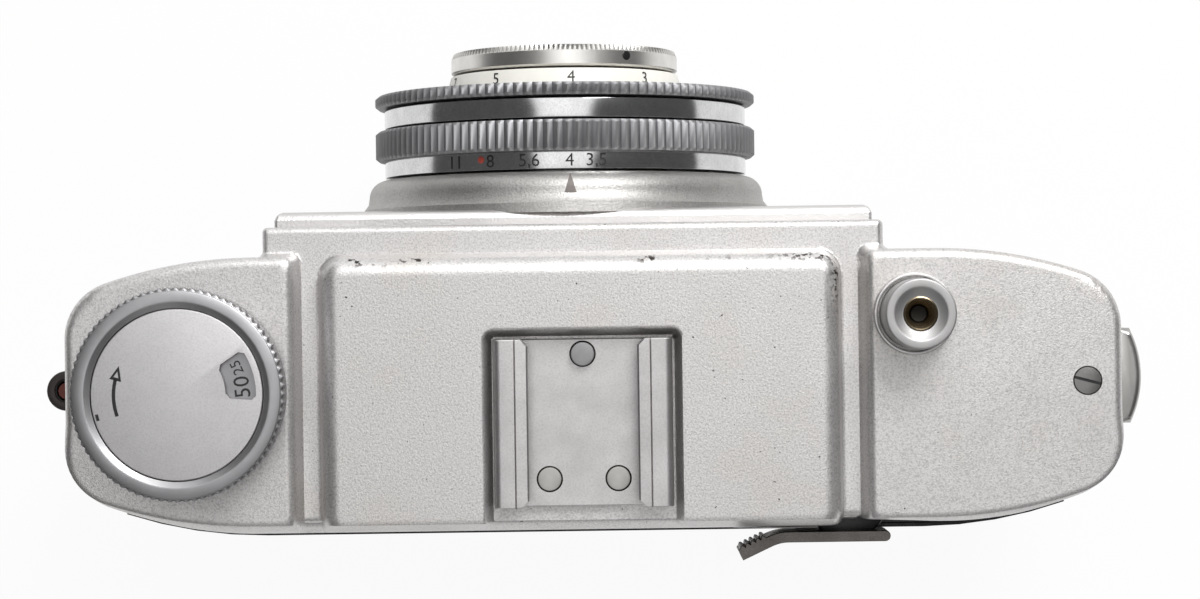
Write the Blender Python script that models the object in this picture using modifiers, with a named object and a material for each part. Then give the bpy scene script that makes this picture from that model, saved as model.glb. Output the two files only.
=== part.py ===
"""A 35 mm viewfinder camera with a leaf-shutter lens, built from separate pieces.

Sizes are in metres. +Z is up, the lens looks along -Y and the rewind knob is on the +X side.
The origin is on the underside of the base, below the middle of the body.
"""

import math

import bmesh
import bpy
from mathutils import Matrix

# Fits
GAP = 0.0003
SNUG = 0.00015
PAST = 0.0020

# Facets
LENS_STEPS = 36
ROUND_STEPS = 24
SMALL_STEPS = 12
ARC_STEPS = 4
FLAT_ANGLE = math.radians(0.1)

# Body plan, seen from above
BODY_LENGTH = 0.1240
FRONT_DEPTH = 0.01575
REAR_DEPTH = 0.01575
REAR_FLARE = 0.0017
DOOR_DEPTH = 0.0180
SHOULDER_RUN = 0.0220
SHOULDER_RADIUS = 0.0540
END_RADIUS = 0.0070
COVERING = 0.0006

# Base
BASE_HEIGHT = 0.0043
BASE_WALL = 0.0010
TRIPOD_X = 0.0220
TRIPOD_RADIUS = 0.0050
TRIPOD_BORE = 0.0032
TRIPOD_HEIGHT = 0.0036
BASE_SCREW_INSET = 0.0080
BASE_SCREW_HEAD = 0.0020
BASE_SCREW_SHANK = 0.0010
BASE_SCREW_LENGTH = 0.0058
COUNTER_RADIUS = 0.0072
COUNTER_THICKNESS = 0.0006
COUNTER_WINDOW = 0.0020
RELEASE_PIN_RADIUS = 0.0025
RELEASE_PIN_HEIGHT = 0.0018
RELEASE_PIN_RECESS = 0.0003

# Body casting, with its film chambers
CASTING_HEIGHT = 0.0524
CASTING_FLOOR = 0.0026
CASTING_ROOF = 0.0022
CASTING_WALL = 0.0012
FILM_PLANE = 0.0135
CASSETTE_RADIUS = 0.0125
CASSETTE_END = 0.0143
SPOOL_END = 0.0180
SPOOL_ROOM = 0.0120
SPOOL_RADIUS = 0.0055
SPOOL_FLANGE = 0.0085
SPOOL_FLANGE_HEIGHT = 0.0020
GATE_WIDTH = 0.0360
GATE_HEIGHT = 0.0240
GATE_LAND = 0.0093
SPROCKET_RADIUS = 0.0056
SPROCKET_TOOTH = 0.0010
SPROCKET_TEETH = 8
SPROCKET_RIM = 0.0016
SPROCKET_WAIST = 0.0042
FILM_WIDTH = 0.0350
SHAFT_RADIUS = 0.0018
WIND_GEAR_TEETH = 18
WIND_GEAR_TOOTH = 0.0008
WIND_GEAR_HEIGHT = 0.0018

# Back door, hinge and latch
DOOR_WALL = 0.0014
HINGE_OUT = 0.0023
KNUCKLE_RADIUS = 0.00245
KNUCKLE_LENGTH = 0.0120
HINGE_PIN_RADIUS = 0.0010
HINGE_WEB = 0.0018
PLATEN_WIDTH = 0.0500
PLATEN_HEIGHT = 0.0300
PLATEN_THICKNESS = 0.0010
SPRING_WIDTH = 0.0040
SPRING_THICKNESS = 0.0003
SPRING_SPACING = 0.0280
LATCH_WIDTH = 0.0117
LATCH_HEIGHT = 0.0200
LATCH_CENTRE_Z = 0.0440
LATCH_PLATE = 0.0011
LATCH_PLATE_MARGIN = 0.0030
LATCH_REACH = 0.0038
LATCH_LIP = 0.0024

# Top housing
HOUSING_HEIGHT = 0.0127
HOUSING_WALL = 0.0010
HOUSING_EDGE = 0.0008
HUMP_CENTRE_X = 0.0015
HUMP_WIDTH = 0.0610
HUMP_RISE = 0.0008
HUMP_EDGE = 0.0013
HUMP_INSET = 0.0003
GROOVE_WIDTH = 0.0030
GROOVE_DEPTH = 0.0035
GROOVE_FLOOR = 0.0012
LEDGE_STEP = 0.0001
LEDGE_CENTRE_X = 0.00225
LEDGE_WIDTH = 0.0735
LEDGE_REACH = 0.00355
LEDGE_EDGE = 0.0006

# Finder
FINDER_X = 0.0200
FINDER_WIDTH = 0.0150
FINDER_HEIGHT = 0.0056
FINDER_FLOOR = 0.0008
FINDER_GLASS = 0.0012
FINDER_WALL = 0.0006
EYEPIECE_WIDTH = 0.0090

# Accessory shoe
SHOE_CENTRE_X = 0.00125
SHOE_WIDTH = 0.0210
SHOE_LENGTH = 0.0197
SHOE_FRONT = 0.0057
SHOE_FLOOR = 0.0010
SHOE_CHANNEL = 0.0186
SHOE_CHANNEL_HEIGHT = 0.0021
SHOE_OPENING = 0.0126
SHOE_RAIL = 0.0012
SHOE_MARGIN = 0.0008
SHOE_DEPTH = 0.0040
SHOE_PIN_RADIUS = 0.0014
SHOE_PIN_HEIGHT = 0.0011
SHOE_PIN_SETBACK = 0.0018
RIVET_SPACING = 0.0081
RIVET_SETBACK = 0.0032
RIVET_HEIGHT = 0.00012

# Housing screw
SCREW_END = 0.0042
SCREW_HEAD = 0.00167
SCREW_HEAD_HEIGHT = 0.0010
SCREW_SHANK = 0.0008
SCREW_SLOT = 0.0005
SCREW_TILT = math.radians(13)

# Rewind knob
KNOB_RADIUS = 0.0124
KNOB_HEIGHT = 0.0064
KNOB_LIFT = 0.0006
KNOB_RIM = 0.0010
KNOB_CHAMFER = 0.0008
KNOB_CROWN = 0.0022
KNOB_SKIRT = 0.0014
KNOB_HUB = 0.0034
KNOB_HUB_DEPTH = 0.0090
DIAL_RADIUS = 0.00985
DIAL_THICKNESS = 0.0007
DIAL_SINK = 0.0004
DIAL_WINDOW_INNER = 0.0056
DIAL_WINDOW_OUTER = 0.0091
DIAL_WINDOW_FROM = math.radians(-34)
DIAL_WINDOW_TO = math.radians(4.5)
INDEX_RADIUS = 0.0096
INDEX_THICKNESS = 0.0004
REWIND_SHAFT = 0.0023
FORK_SLOT = 0.0012
FORK_DEPTH = 0.0040

# Shutter release
RELEASE_X = -0.0376
RELEASE_Y = -0.0081
RELEASE_RADIUS = 0.0041
RELEASE_HEIGHT = 0.0070
RELEASE_SKIRT = 0.0030
RELEASE_DISH = 0.0030
RELEASE_DISH_DEPTH = 0.0005
RELEASE_EDGE = 0.0006
RELEASE_STEM = 0.0016
RELEASE_STEM_LENGTH = 0.0060
THREAD_RADIUS = 0.00205
THREAD_BORE = 0.0012
THREAD_LENGTH = 0.0030
COLLAR_WIDTH = 0.0004
COLLAR_HEIGHT = 0.0012

# Advance lever
LEVER_X = -0.0302
LEVER_Y = 0.0140
LEVER_HUB = 0.0050
LEVER_LIFT = 0.0022
LEVER_HEIGHT = 0.0050
LEVER_THICKNESS = 0.0013
LEVER_ARM = 0.0089
LEVER_TIP = 0.0050
LEVER_BEND = math.radians(25)
LEVER_SWEEP_ROOM = 0.0040
LEVER_STUD = 0.0014
LEVER_STUD_SINK = 0.0015
LEVER_STUD_HEAD = 0.0005

# Front plate and lens, as forward lengths and radii about the lens axis
LENS_X = 0.0034
PLATE_REACH = 0.00565
PLATE_WALL = 0.0012
PLATE_EDGE = 0.0010
PLATE_SIDE = 0.0003
FLANGE_HEIGHT = 0.0044
FLANGE_RADIUS = 0.0266
FLANGE_TAPER = 0.0007
FLANGE_SHOULDER = 0.0020
NUMBER_BAND = 0.00225
APERTURE_KNURL = 0.0038
SHUTTER_BARREL = 0.00245
FOCUS_KNURL = 0.00155
SCALE_LENGTH = 0.00255
FRONT_RING = 0.0027
BARREL_RADIUS = 0.0237
KNURL_RADIUS = 0.0249
KNURL_CHAMFER = 0.0002
TUBE_RADIUS = 0.0190
TUBE_DEPTH = 0.0048
TUBE_WALL = 0.0010
SCALE_RADIUS = 0.0156
SCALE_TAPER = 0.0007
CELL_RADIUS = 0.0134
CELL_WALL = 0.0016
CELL_LIP = 0.0012
FRONT_RING_STEP = 0.00145
FRONT_LENS_RADIUS = 0.0102
FRONT_LENS_EDGE = 0.0018
FRONT_LENS_BULGE = 0.0012
FRONT_LENS_SINK = 0.0026
RETAINER_HEIGHT = 0.0008
RETAINER_WIDTH = 0.0011
REAR_CELL_RADIUS = 0.0100
REAR_CELL_WALL = 0.0012
REAR_LENS_EDGE = 0.0020
REAR_LENS_BULGE = 0.0009
BLADE_PITCH = 0.0006
BLADE_THICKNESS = 0.00025
BLADE_PIVOT = 0.0150
BLADE_OUTER = 0.0165
APERTURE_BLADES = 5
APERTURE_OPENING = 0.0105
APERTURE_SPAN = math.radians(110)
SHUTTER_BLADES = 3
SHUTTER_OPENING = 0.0095
SHUTTER_SPAN = math.radians(120)
SHUTTER_CLOSED = math.radians(30)
SET_SCREW_RADIUS = 0.0006
SET_SCREW_LENGTH = 0.0008
SET_SCREW_ANGLE = math.radians(123)

# Heights and places that follow from the sizes above
HALF_LENGTH = BODY_LENGTH / 2
CASTING_BOTTOM = BASE_HEIGHT + GAP
CASTING_TOP = CASTING_BOTTOM + CASTING_HEIGHT
CHAMBER_BOTTOM = CASTING_BOTTOM + CASTING_FLOOR
CHAMBER_TOP = CASTING_TOP - CASTING_ROOF
LENS_Z = (CHAMBER_BOTTOM + CHAMBER_TOP) / 2
HOUSING_BOTTOM = CASTING_TOP + GAP
DECK_TOP = HOUSING_BOTTOM + HOUSING_HEIGHT
GROOVE_BOTTOM = DECK_TOP - GROOVE_DEPTH
LEDGE_TOP = GROOVE_BOTTOM - LEDGE_STEP
HUMP_TOP = DECK_TOP + HUMP_RISE
ROOM_TOP = LEDGE_TOP - GROOVE_FLOOR
LEDGE_FACE = FRONT_DEPTH + LEDGE_REACH
KNOB_X = HALF_LENGTH - CASSETTE_END
CHAMBER_RADIUS = CASSETTE_RADIUS + GAP
KNOB_BOTTOM = DECK_TOP + KNOB_LIFT
KNOB_TOP = KNOB_BOTTOM + KNOB_HEIGHT
DIAL_TOP = KNOB_TOP - DIAL_SINK
DIAL_BOTTOM = DIAL_TOP - DIAL_THICKNESS
INDEX_TOP = DIAL_BOTTOM - GAP
INDEX_BOTTOM = INDEX_TOP - INDEX_THICKNESS
KNOB_FLOOR = INDEX_BOTTOM - SNUG
SPOOL_X = SPOOL_END - HALF_LENGTH
GATE_LOW_X = LENS_X - GATE_WIDTH / 2
SPROCKET_X = GATE_LOW_X - GATE_LAND
SPROCKET_Y = FILM_PLANE - SPROCKET_RADIUS - SPROCKET_TOOTH
SPROCKET_ROOM = SPROCKET_RADIUS + SPROCKET_TOOTH + 2 * GAP
HINGE_X = HALF_LENGTH + HINGE_OUT
CASTING_FRONT = COVERING + SNUG
CASTING_REAR = COVERING + DOOR_WALL + GAP
DOOR_BOTTOM = CASTING_BOTTOM
DOOR_TOP = CASTING_TOP - GAP
LEVER_BOTTOM = HOUSING_BOTTOM + LEVER_LIFT
LEVER_TOP = LEVER_BOTTOM + LEVER_HEIGHT
SHOE_BED = HUMP_TOP - SHOE_DEPTH
SHOE_BOTTOM = SHOE_BED + SNUG
SHOE_FLOOR_TOP = SHOE_BOTTOM + SHOE_FLOOR
PLATE_FACE = FRONT_DEPTH + PLATE_REACH
FLANGE_BACK = PLATE_FACE + GAP
FLANGE_FRONT = FLANGE_BACK + FLANGE_HEIGHT
APERTURE_BACK = FLANGE_FRONT + GAP
APERTURE_STEP = APERTURE_BACK + NUMBER_BAND
APERTURE_FRONT = APERTURE_STEP + APERTURE_KNURL
BARREL_BACK = APERTURE_FRONT + GAP
BARREL_FRONT = BARREL_BACK + SHUTTER_BARREL
FOCUS_BACK = BARREL_FRONT + GAP
FOCUS_FACE = FOCUS_BACK + FOCUS_KNURL
SCALE_FRONT = FOCUS_FACE + SCALE_LENGTH
RING_BACK = SCALE_FRONT + GAP
RING_FRONT = RING_BACK + FRONT_RING
RING_RADIUS = CELL_RADIUS + FRONT_RING_STEP
TUBE_BACK = FRONT_DEPTH - TUBE_DEPTH
BLADE_PLANES = APERTURE_BLADES + SHUTTER_BLADES
ROOM_RADIUS = TUBE_RADIUS - TUBE_WALL
ROOM_BACK = PLATE_FACE - GAP
ROOM_FRONT = ROOM_BACK + GAP + BLADE_PLANES * BLADE_PITCH
CELL_BACK = ROOM_FRONT + GAP
LENS_HOLE = TUBE_RADIUS + GAP

for leftover in list(bpy.data.objects):
    bpy.data.objects.remove(leftover, do_unlink=True)

PARTS = bpy.data.collections.new("viewfinder_camera")
CUTTERS = bpy.data.collections.new("cutters")
bpy.context.scene.collection.children.link(PARTS)
bpy.context.scene.collection.children.link(CUTTERS)


def material(name, colour, metallic, roughness):
    """A Principled material of one plain finish."""
    made = bpy.data.materials.new(name)
    made.use_nodes = True
    shader = made.node_tree.nodes["Principled BSDF"]
    shader.inputs["Base Color"].default_value = (*colour, 1.0)
    shader.inputs["Metallic"].default_value = metallic
    shader.inputs["Roughness"].default_value = roughness
    return made


SATIN = material("satin_chrome", (0.68, 0.66, 0.63), 1.0, 0.42)
CHROME = material("chrome", (0.75, 0.74, 0.72), 1.0, 0.12)
SPUN = material("spun_aluminium", (0.72, 0.72, 0.72), 1.0, 0.30)
NICKEL = material("nickel", (0.62, 0.61, 0.60), 1.0, 0.28)
STEEL = material("steel", (0.45, 0.45, 0.45), 1.0, 0.35)
BRASS = material("brass", (0.60, 0.46, 0.22), 1.0, 0.35)
COPPER = material("copper_pin", (0.38, 0.14, 0.08), 1.0, 0.45)
BLACK_PAINT = material("black_paint", (0.03, 0.03, 0.03), 0.0, 0.50)
CAST = material("cast_metal", (0.12, 0.12, 0.12), 0.6, 0.60)
LEATHERETTE = material("leatherette", (0.025, 0.025, 0.027), 0.0, 0.65)
GLASS = material("glass", (0.85, 0.88, 0.92), 0.0, 0.02)
SCALE_PAINT = material("scale_paint", (0.82, 0.80, 0.72), 0.0, 0.40)


def axis_empty(name, x, y, z=0.0, turn=None):
    """An empty on a joint's axis, which the moving pieces are parented to."""
    empty = bpy.data.objects.new(name, None)
    PARTS.objects.link(empty)
    empty.matrix_world = Matrix.Translation((x, y, z)) @ (turn or Matrix())
    return empty


FORWARD = Matrix.Rotation(math.radians(90), 4, "X")
LENS_AXIS = axis_empty("lens_axis", LENS_X, 0, LENS_Z, FORWARD)
KNOB_AXIS = axis_empty("knob_axis", KNOB_X, 0)
RELEASE_AXIS = axis_empty("release_axis", RELEASE_X, RELEASE_Y)
LEVER_AXIS = axis_empty("lever_axis", LEVER_X, LEVER_Y)
SPROCKET_AXIS = axis_empty("sprocket_axis", SPROCKET_X, SPROCKET_Y)
SPOOL_AXIS = axis_empty("spool_axis", SPOOL_X, 0)
HINGE_AXIS = axis_empty("hinge_axis", HINGE_X, 0)


def ride(obj, axis):
    """Parents a piece that is built in place to its axis, and leaves it where it is."""
    obj.parent = axis
    obj.matrix_parent_inverse = axis.matrix_world.inverted()
    return obj


def add_mesh(name, mesh, finish):
    """A new part, or a cutter where there is no finish."""
    obj = bpy.data.objects.new(name, mesh)
    if finish is None:
        CUTTERS.objects.link(obj)
        obj.hide_render = True
        obj.display_type = "WIRE"
    else:
        PARTS.objects.link(obj)
        mesh.materials.clear()
        mesh.materials.append(finish)
    return obj


def prism(name, outline, low, high, finish=None, along="Z"):
    """A flat outline extruded from low to high along Z, or along Y from an (x, z) outline."""
    curve = bpy.data.curves.new(name, "CURVE")
    curve.dimensions = "2D"
    curve.fill_mode = "BOTH"
    curve.extrude = (high - low) / 2
    spline = curve.splines.new("POLY")
    spline.points.add(len(outline) - 1)
    for point, (across, up) in zip(spline.points, outline):
        point.co = (across, up, 0, 1)
    spline.use_cyclic_u = True
    guide = bpy.data.objects.new(name, curve)
    CUTTERS.objects.link(guide)
    bpy.context.view_layer.update()
    mesh = bpy.data.meshes.new_from_object(guide.evaluated_get(bpy.context.evaluated_depsgraph_get()))
    bpy.data.objects.remove(guide, do_unlink=True)
    middle = (low + high) / 2
    if along == "Z":
        mesh.transform(Matrix.Translation((0, 0, middle)))
    else:
        mesh.transform(Matrix.Translation((0, middle, 0)) @ FORWARD)
    shape = bmesh.new()
    shape.from_mesh(mesh)
    bmesh.ops.remove_doubles(shape, verts=shape.verts, dist=SNUG / 100)
    bmesh.ops.dissolve_limit(shape, angle_limit=FLAT_ANGLE, verts=shape.verts, edges=shape.edges)
    bmesh.ops.recalc_face_normals(shape, faces=shape.faces)
    shape.to_mesh(mesh)
    shape.free()
    return add_mesh(name, mesh, finish)


def box(name, low, high, finish=None):
    """A block between two corners."""
    mesh = bpy.data.meshes.new(name)
    shape = bmesh.new()
    bmesh.ops.create_cube(shape, size=1)
    for vertex in shape.verts:
        for side in range(3):
            vertex.co[side] = high[side] if vertex.co[side] > 0 else low[side]
    bmesh.ops.recalc_face_normals(shape, faces=shape.faces)
    shape.to_mesh(mesh)
    shape.free()
    return add_mesh(name, mesh, finish)


def turned(name, profile, axis, finish=None, steps=ROUND_STEPS, ring=False):
    """A profile of (radius, height) points turned about an axis; a ring's profile closes on itself."""
    mesh = bpy.data.meshes.new(name)
    edges = [(i, i + 1) for i in range(len(profile) - 1)]
    if ring:
        edges.append((len(profile) - 1, 0))
    mesh.from_pydata([(radius, 0, height) for radius, height in profile], edges, [])
    obj = add_mesh(name, mesh, finish)
    obj.parent = axis
    screw = obj.modifiers.new("turn", "SCREW")
    screw.steps = steps
    screw.render_steps = steps
    screw.use_merge_vertices = True
    screw.merge_threshold = SNUG / 100
    screw.use_smooth_shade = True
    return obj


def disc(name, radius, low, high, axis, finish=None, steps=ROUND_STEPS):
    """A plain round piece or hole cutter."""
    return turned(name, [(0, high), (radius, high), (radius, low), (0, low)], axis, finish, steps)


def washer(name, inner, outer, low, high, axis, finish=None, steps=ROUND_STEPS):
    """A plain round piece with a round hole."""
    profile = [(outer, high), (outer, low), (inner, low), (inner, high)]
    return turned(name, profile, axis, finish, steps, ring=True)


def boolean(obj, other, operation):
    """Cuts another shape from a piece, or joins it on. The casting's cuts share axes, which EXACT tears."""
    step = obj.modifiers.new(other.name, "BOOLEAN")
    step.operation = operation
    step.object = other
    step.solver = "MANIFOLD" if obj.name == "body_casting" else "EXACT"
    return obj


def cut(obj, *others):
    """Takes cutters out of a piece."""
    for other in others:
        boolean(obj, other, "DIFFERENCE")
    return obj


def join(obj, *others):
    """Joins helper shapes onto a piece."""
    for other in others:
        boolean(obj, other, "UNION")
    return obj


def round_edges(obj, chosen, width, steps=2):
    """Rounds the edges whose two ends are both chosen."""
    shape = bmesh.new()
    shape.from_mesh(obj.data)
    edges = [edge for edge in shape.edges if all(chosen(vertex.co) for vertex in edge.verts)]
    bmesh.ops.bevel(
        shape, geom=edges, offset=width, offset_type="OFFSET", segments=steps, profile=0.5, affect="EDGES"
    )
    shape.to_mesh(obj.data)
    shape.free()
    return obj


def arc(centre_x, centre_y, radius, start, end, steps=ARC_STEPS):
    """Points along an arc, both ends included."""
    angles = [start + (end - start) * i / steps for i in range(steps + 1)]
    return [(centre_x + radius * math.cos(a), centre_y + radius * math.sin(a)) for a in angles]


def plan_side(depth, inset, side):
    """One long side of the body's plan from the +X end to the -X end; side is -1 in front, 1 behind."""
    shoulder_x = HALF_LENGTH - SHOULDER_RUN
    corner_x = HALF_LENGTH - END_RADIUS
    across = corner_x - shoulder_x
    rise = math.sqrt((SHOULDER_RADIUS - END_RADIUS) ** 2 - across**2)
    middle = depth - SHOULDER_RADIUS
    turn = math.atan2(rise, across)
    quarter = arc(corner_x, middle + rise, END_RADIUS - inset, 0, turn)
    quarter += arc(shoulder_x, middle, SHOULDER_RADIUS - inset, turn, math.pi / 2)[1:]
    other = [(-x, y) for x, y in reversed(quarter)]
    return [(x, side * y) for x, y in quarter + other]


def plan_depth(x, depth, inset):
    """How far the plan reaches from the centre plane at x, along its straight and shoulder."""
    beyond = max(0.0, abs(x) - HALF_LENGTH + SHOULDER_RUN)
    return depth - SHOULDER_RADIUS + math.sqrt((SHOULDER_RADIUS - inset) ** 2 - beyond**2)


def plan_outline(front, rear, inset):
    """The whole plan, counter-clockwise from above."""
    return plan_side(rear, inset, 1) + plan_side(front, inset, -1)[::-1]


def gear_outline(teeth, root, tip):
    """Square-topped teeth on a circle."""
    points = []
    for tooth in range(teeth):
        start = math.tau * tooth / teeth
        for share, radius in ((0.0, root), (0.4, root), (0.5, tip), (0.9, tip)):
            angle = start + share * math.tau / teeth
            points.append((radius * math.cos(angle), radius * math.sin(angle)))
    return points


def centred(obj, axis):
    """Places a piece that is built about the origin on its axis."""
    obj.parent = axis
    return obj


def base_cover():
    """A tray with round holes for what works through it, and the pieces in those holes."""
    tray = prism("base_cover", plan_outline(FRONT_DEPTH, DOOR_DEPTH - COVERING, 0), 0, BASE_HEIGHT, SATIN)
    round_edges(tray, lambda co: co.z < SNUG, BASE_WALL / 2, 1)
    inner = plan_outline(FRONT_DEPTH, DOOR_DEPTH - COVERING, BASE_WALL)
    cut(tray, prism("base_room", inner, BASE_WALL, BASE_HEIGHT + PAST))
    tripod = axis_empty("tripod_axis", TRIPOD_X, 0)
    cut(tray, disc("tripod_hole", TRIPOD_RADIUS + SNUG, -PAST, BASE_HEIGHT, tripod))
    washer("tripod_bush", TRIPOD_BORE, TRIPOD_RADIUS, 0, TRIPOD_HEIGHT, tripod, STEEL)
    cut(tray, disc("rewind_release_hole", RELEASE_PIN_RADIUS + GAP, -PAST, BASE_HEIGHT, SPROCKET_AXIS))
    pin_top = RELEASE_PIN_RECESS + RELEASE_PIN_HEIGHT
    disc("rewind_release", RELEASE_PIN_RADIUS, RELEASE_PIN_RECESS, pin_top, SPROCKET_AXIS, NICKEL)
    window = axis_empty("counter_window_axis", SPOOL_X, COUNTER_WINDOW + GAP - COUNTER_RADIUS)
    cut(tray, disc("counter_window", COUNTER_WINDOW, -PAST, BASE_HEIGHT, window, steps=SMALL_STEPS))
    low = BASE_WALL + GAP
    disc("frame_counter", COUNTER_RADIUS, low, low + COUNTER_THICKNESS, SPOOL_AXIS, SCALE_PAINT)
    screw_x = HALF_LENGTH - BASE_SCREW_INSET
    for name, x in (("left", screw_x), ("right", -screw_x)):
        axis = axis_empty(f"base_screw_axis_{name}", x, 0)
        cut(tray, disc(f"base_hole_{name}", BASE_SCREW_HEAD + GAP, -PAST, BASE_HEIGHT, axis))
        profile = [
            (0, BASE_SCREW_LENGTH),
            (BASE_SCREW_SHANK, BASE_SCREW_LENGTH),
            (BASE_SCREW_SHANK, BASE_WALL),
            (BASE_SCREW_HEAD, BASE_WALL),
            (BASE_SCREW_HEAD, SNUG),
            (0, SNUG),
        ]
        turned(f"base_screw_{name}", profile, axis, NICKEL, SMALL_STEPS)
    return tray


def chamber_cutters():
    """The spaces in the casting: both chambers, the sprocket's pocket, the gate and the rear recess."""
    end = HALF_LENGTH - CASTING_FRONT - CASTING_WALL
    front = [(min(x, end), y) for x, y in arc(KNOB_X, 0, CHAMBER_RADIUS, math.pi, math.tau, 4 * ARC_STEPS)]
    front += [(front[-1][0], 2 * GAP), (front[0][0], 2 * GAP)]
    rear = DOOR_DEPTH
    behind = FILM_PLANE
    gate_z = GATE_HEIGHT / 2
    spool = arc(SPOOL_X, 0, SPOOL_ROOM, math.pi, math.tau, 4 * ARC_STEPS)
    spool += [(SPOOL_X + SPOOL_ROOM, rear), (SPOOL_X - SPOOL_ROOM, rear)]
    recess = HALF_LENGTH - CASTING_REAR - CASTING_WALL
    return (
        prism("cassette_front", front, CHAMBER_BOTTOM, CHAMBER_TOP),
        box(
            "cassette_rear",
            (KNOB_X - CHAMBER_RADIUS, GAP, CHAMBER_BOTTOM),
            (HALF_LENGTH, rear + PAST, CHAMBER_TOP),
        ),
        prism("spool_room", spool, CHAMBER_BOTTOM, CHAMBER_TOP),
        disc("sprocket_room", SPROCKET_ROOM, CHAMBER_BOTTOM, CHAMBER_TOP, SPROCKET_AXIS),
        box("rear_recess", (-recess, behind, CHAMBER_BOTTOM), (HALF_LENGTH, rear, CHAMBER_TOP)),
        box(
            "light_tunnel",
            (GATE_LOW_X, -TUBE_BACK, LENS_Z - gate_z),
            (GATE_LOW_X + GATE_WIDTH, rear, LENS_Z + gate_z),
        ),
        disc("lens_pocket", LENS_HOLE, TUBE_BACK - GAP, FRONT_DEPTH + PAST, LENS_AXIS, steps=LENS_STEPS),
        disc("fork_hole", REWIND_SHAFT + GAP, CHAMBER_TOP - PAST, CASTING_TOP + PAST, KNOB_AXIS),
        disc("sprocket_hole", SHAFT_RADIUS + GAP, CHAMBER_TOP - PAST, CASTING_TOP + PAST, SPROCKET_AXIS),
        disc("spool_hole", SHAFT_RADIUS + GAP, CHAMBER_TOP - PAST, CASTING_TOP + PAST, SPOOL_AXIS),
        disc("stud_hole", LEVER_STUD + SNUG, CASTING_TOP - LEVER_STUD_SINK, CASTING_TOP + PAST, LEVER_AXIS),
    )


def body_casting():
    """The casting that carries everything, with the hinge's two outer knuckles cast on."""
    rear_x = HALF_LENGTH - CASTING_REAR
    front_x = HALF_LENGTH - CASTING_FRONT
    outline = [(rear_x, 0)] + plan_side(DOOR_DEPTH, CASTING_REAR, 1) + [(-rear_x, 0), (-front_x, 0)]
    outline += plan_side(FRONT_DEPTH, CASTING_FRONT, -1)[::-1] + [(front_x, 0)]
    casting = prism("body_casting", outline, CASTING_BOTTOM, CASTING_TOP, CAST)
    cut(casting, *chamber_cutters())
    web_x = HALF_LENGTH - CASTING_FRONT - CASTING_WALL
    for name, low in (("low", DOOR_BOTTOM), ("high", CASTING_TOP - GAP - KNUCKLE_LENGTH)):
        high = low + KNUCKLE_LENGTH
        web = box(f"hinge_web_{name}", (web_x, -GAP - HINGE_WEB, low), (HINGE_X, -GAP, high))
        join(casting, web)
        join(casting, disc(f"knuckle_{name}", KNUCKLE_RADIUS, low, high, HINGE_AXIS, steps=SMALL_STEPS))
    bore = HINGE_PIN_RADIUS + GAP
    cut(casting, disc("pin_bore", bore, -PAST, CASTING_TOP + PAST, HINGE_AXIS, steps=SMALL_STEPS))
    screw_x = HALF_LENGTH - BASE_SCREW_INSET
    for name, x in (("left", screw_x), ("right", -screw_x)):
        axis = axis_empty(f"casting_screw_axis_{name}", x, 0)
        hole_top = BASE_SCREW_LENGTH + GAP
        shank = BASE_SCREW_SHANK + GAP
        cut(casting, disc(f"casting_hole_{name}", shank, 0, hole_top, axis, steps=SMALL_STEPS))
    screw_axis = axis_empty("housing_hole_axis", SCREW_END - HALF_LENGTH, 0)
    hole_top = CASTING_TOP + PAST
    hole = disc("housing_hole", SCREW_SHANK + GAP, CHAMBER_TOP, hole_top, screw_axis, steps=SMALL_STEPS)
    cut(casting, hole)
    return casting


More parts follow.
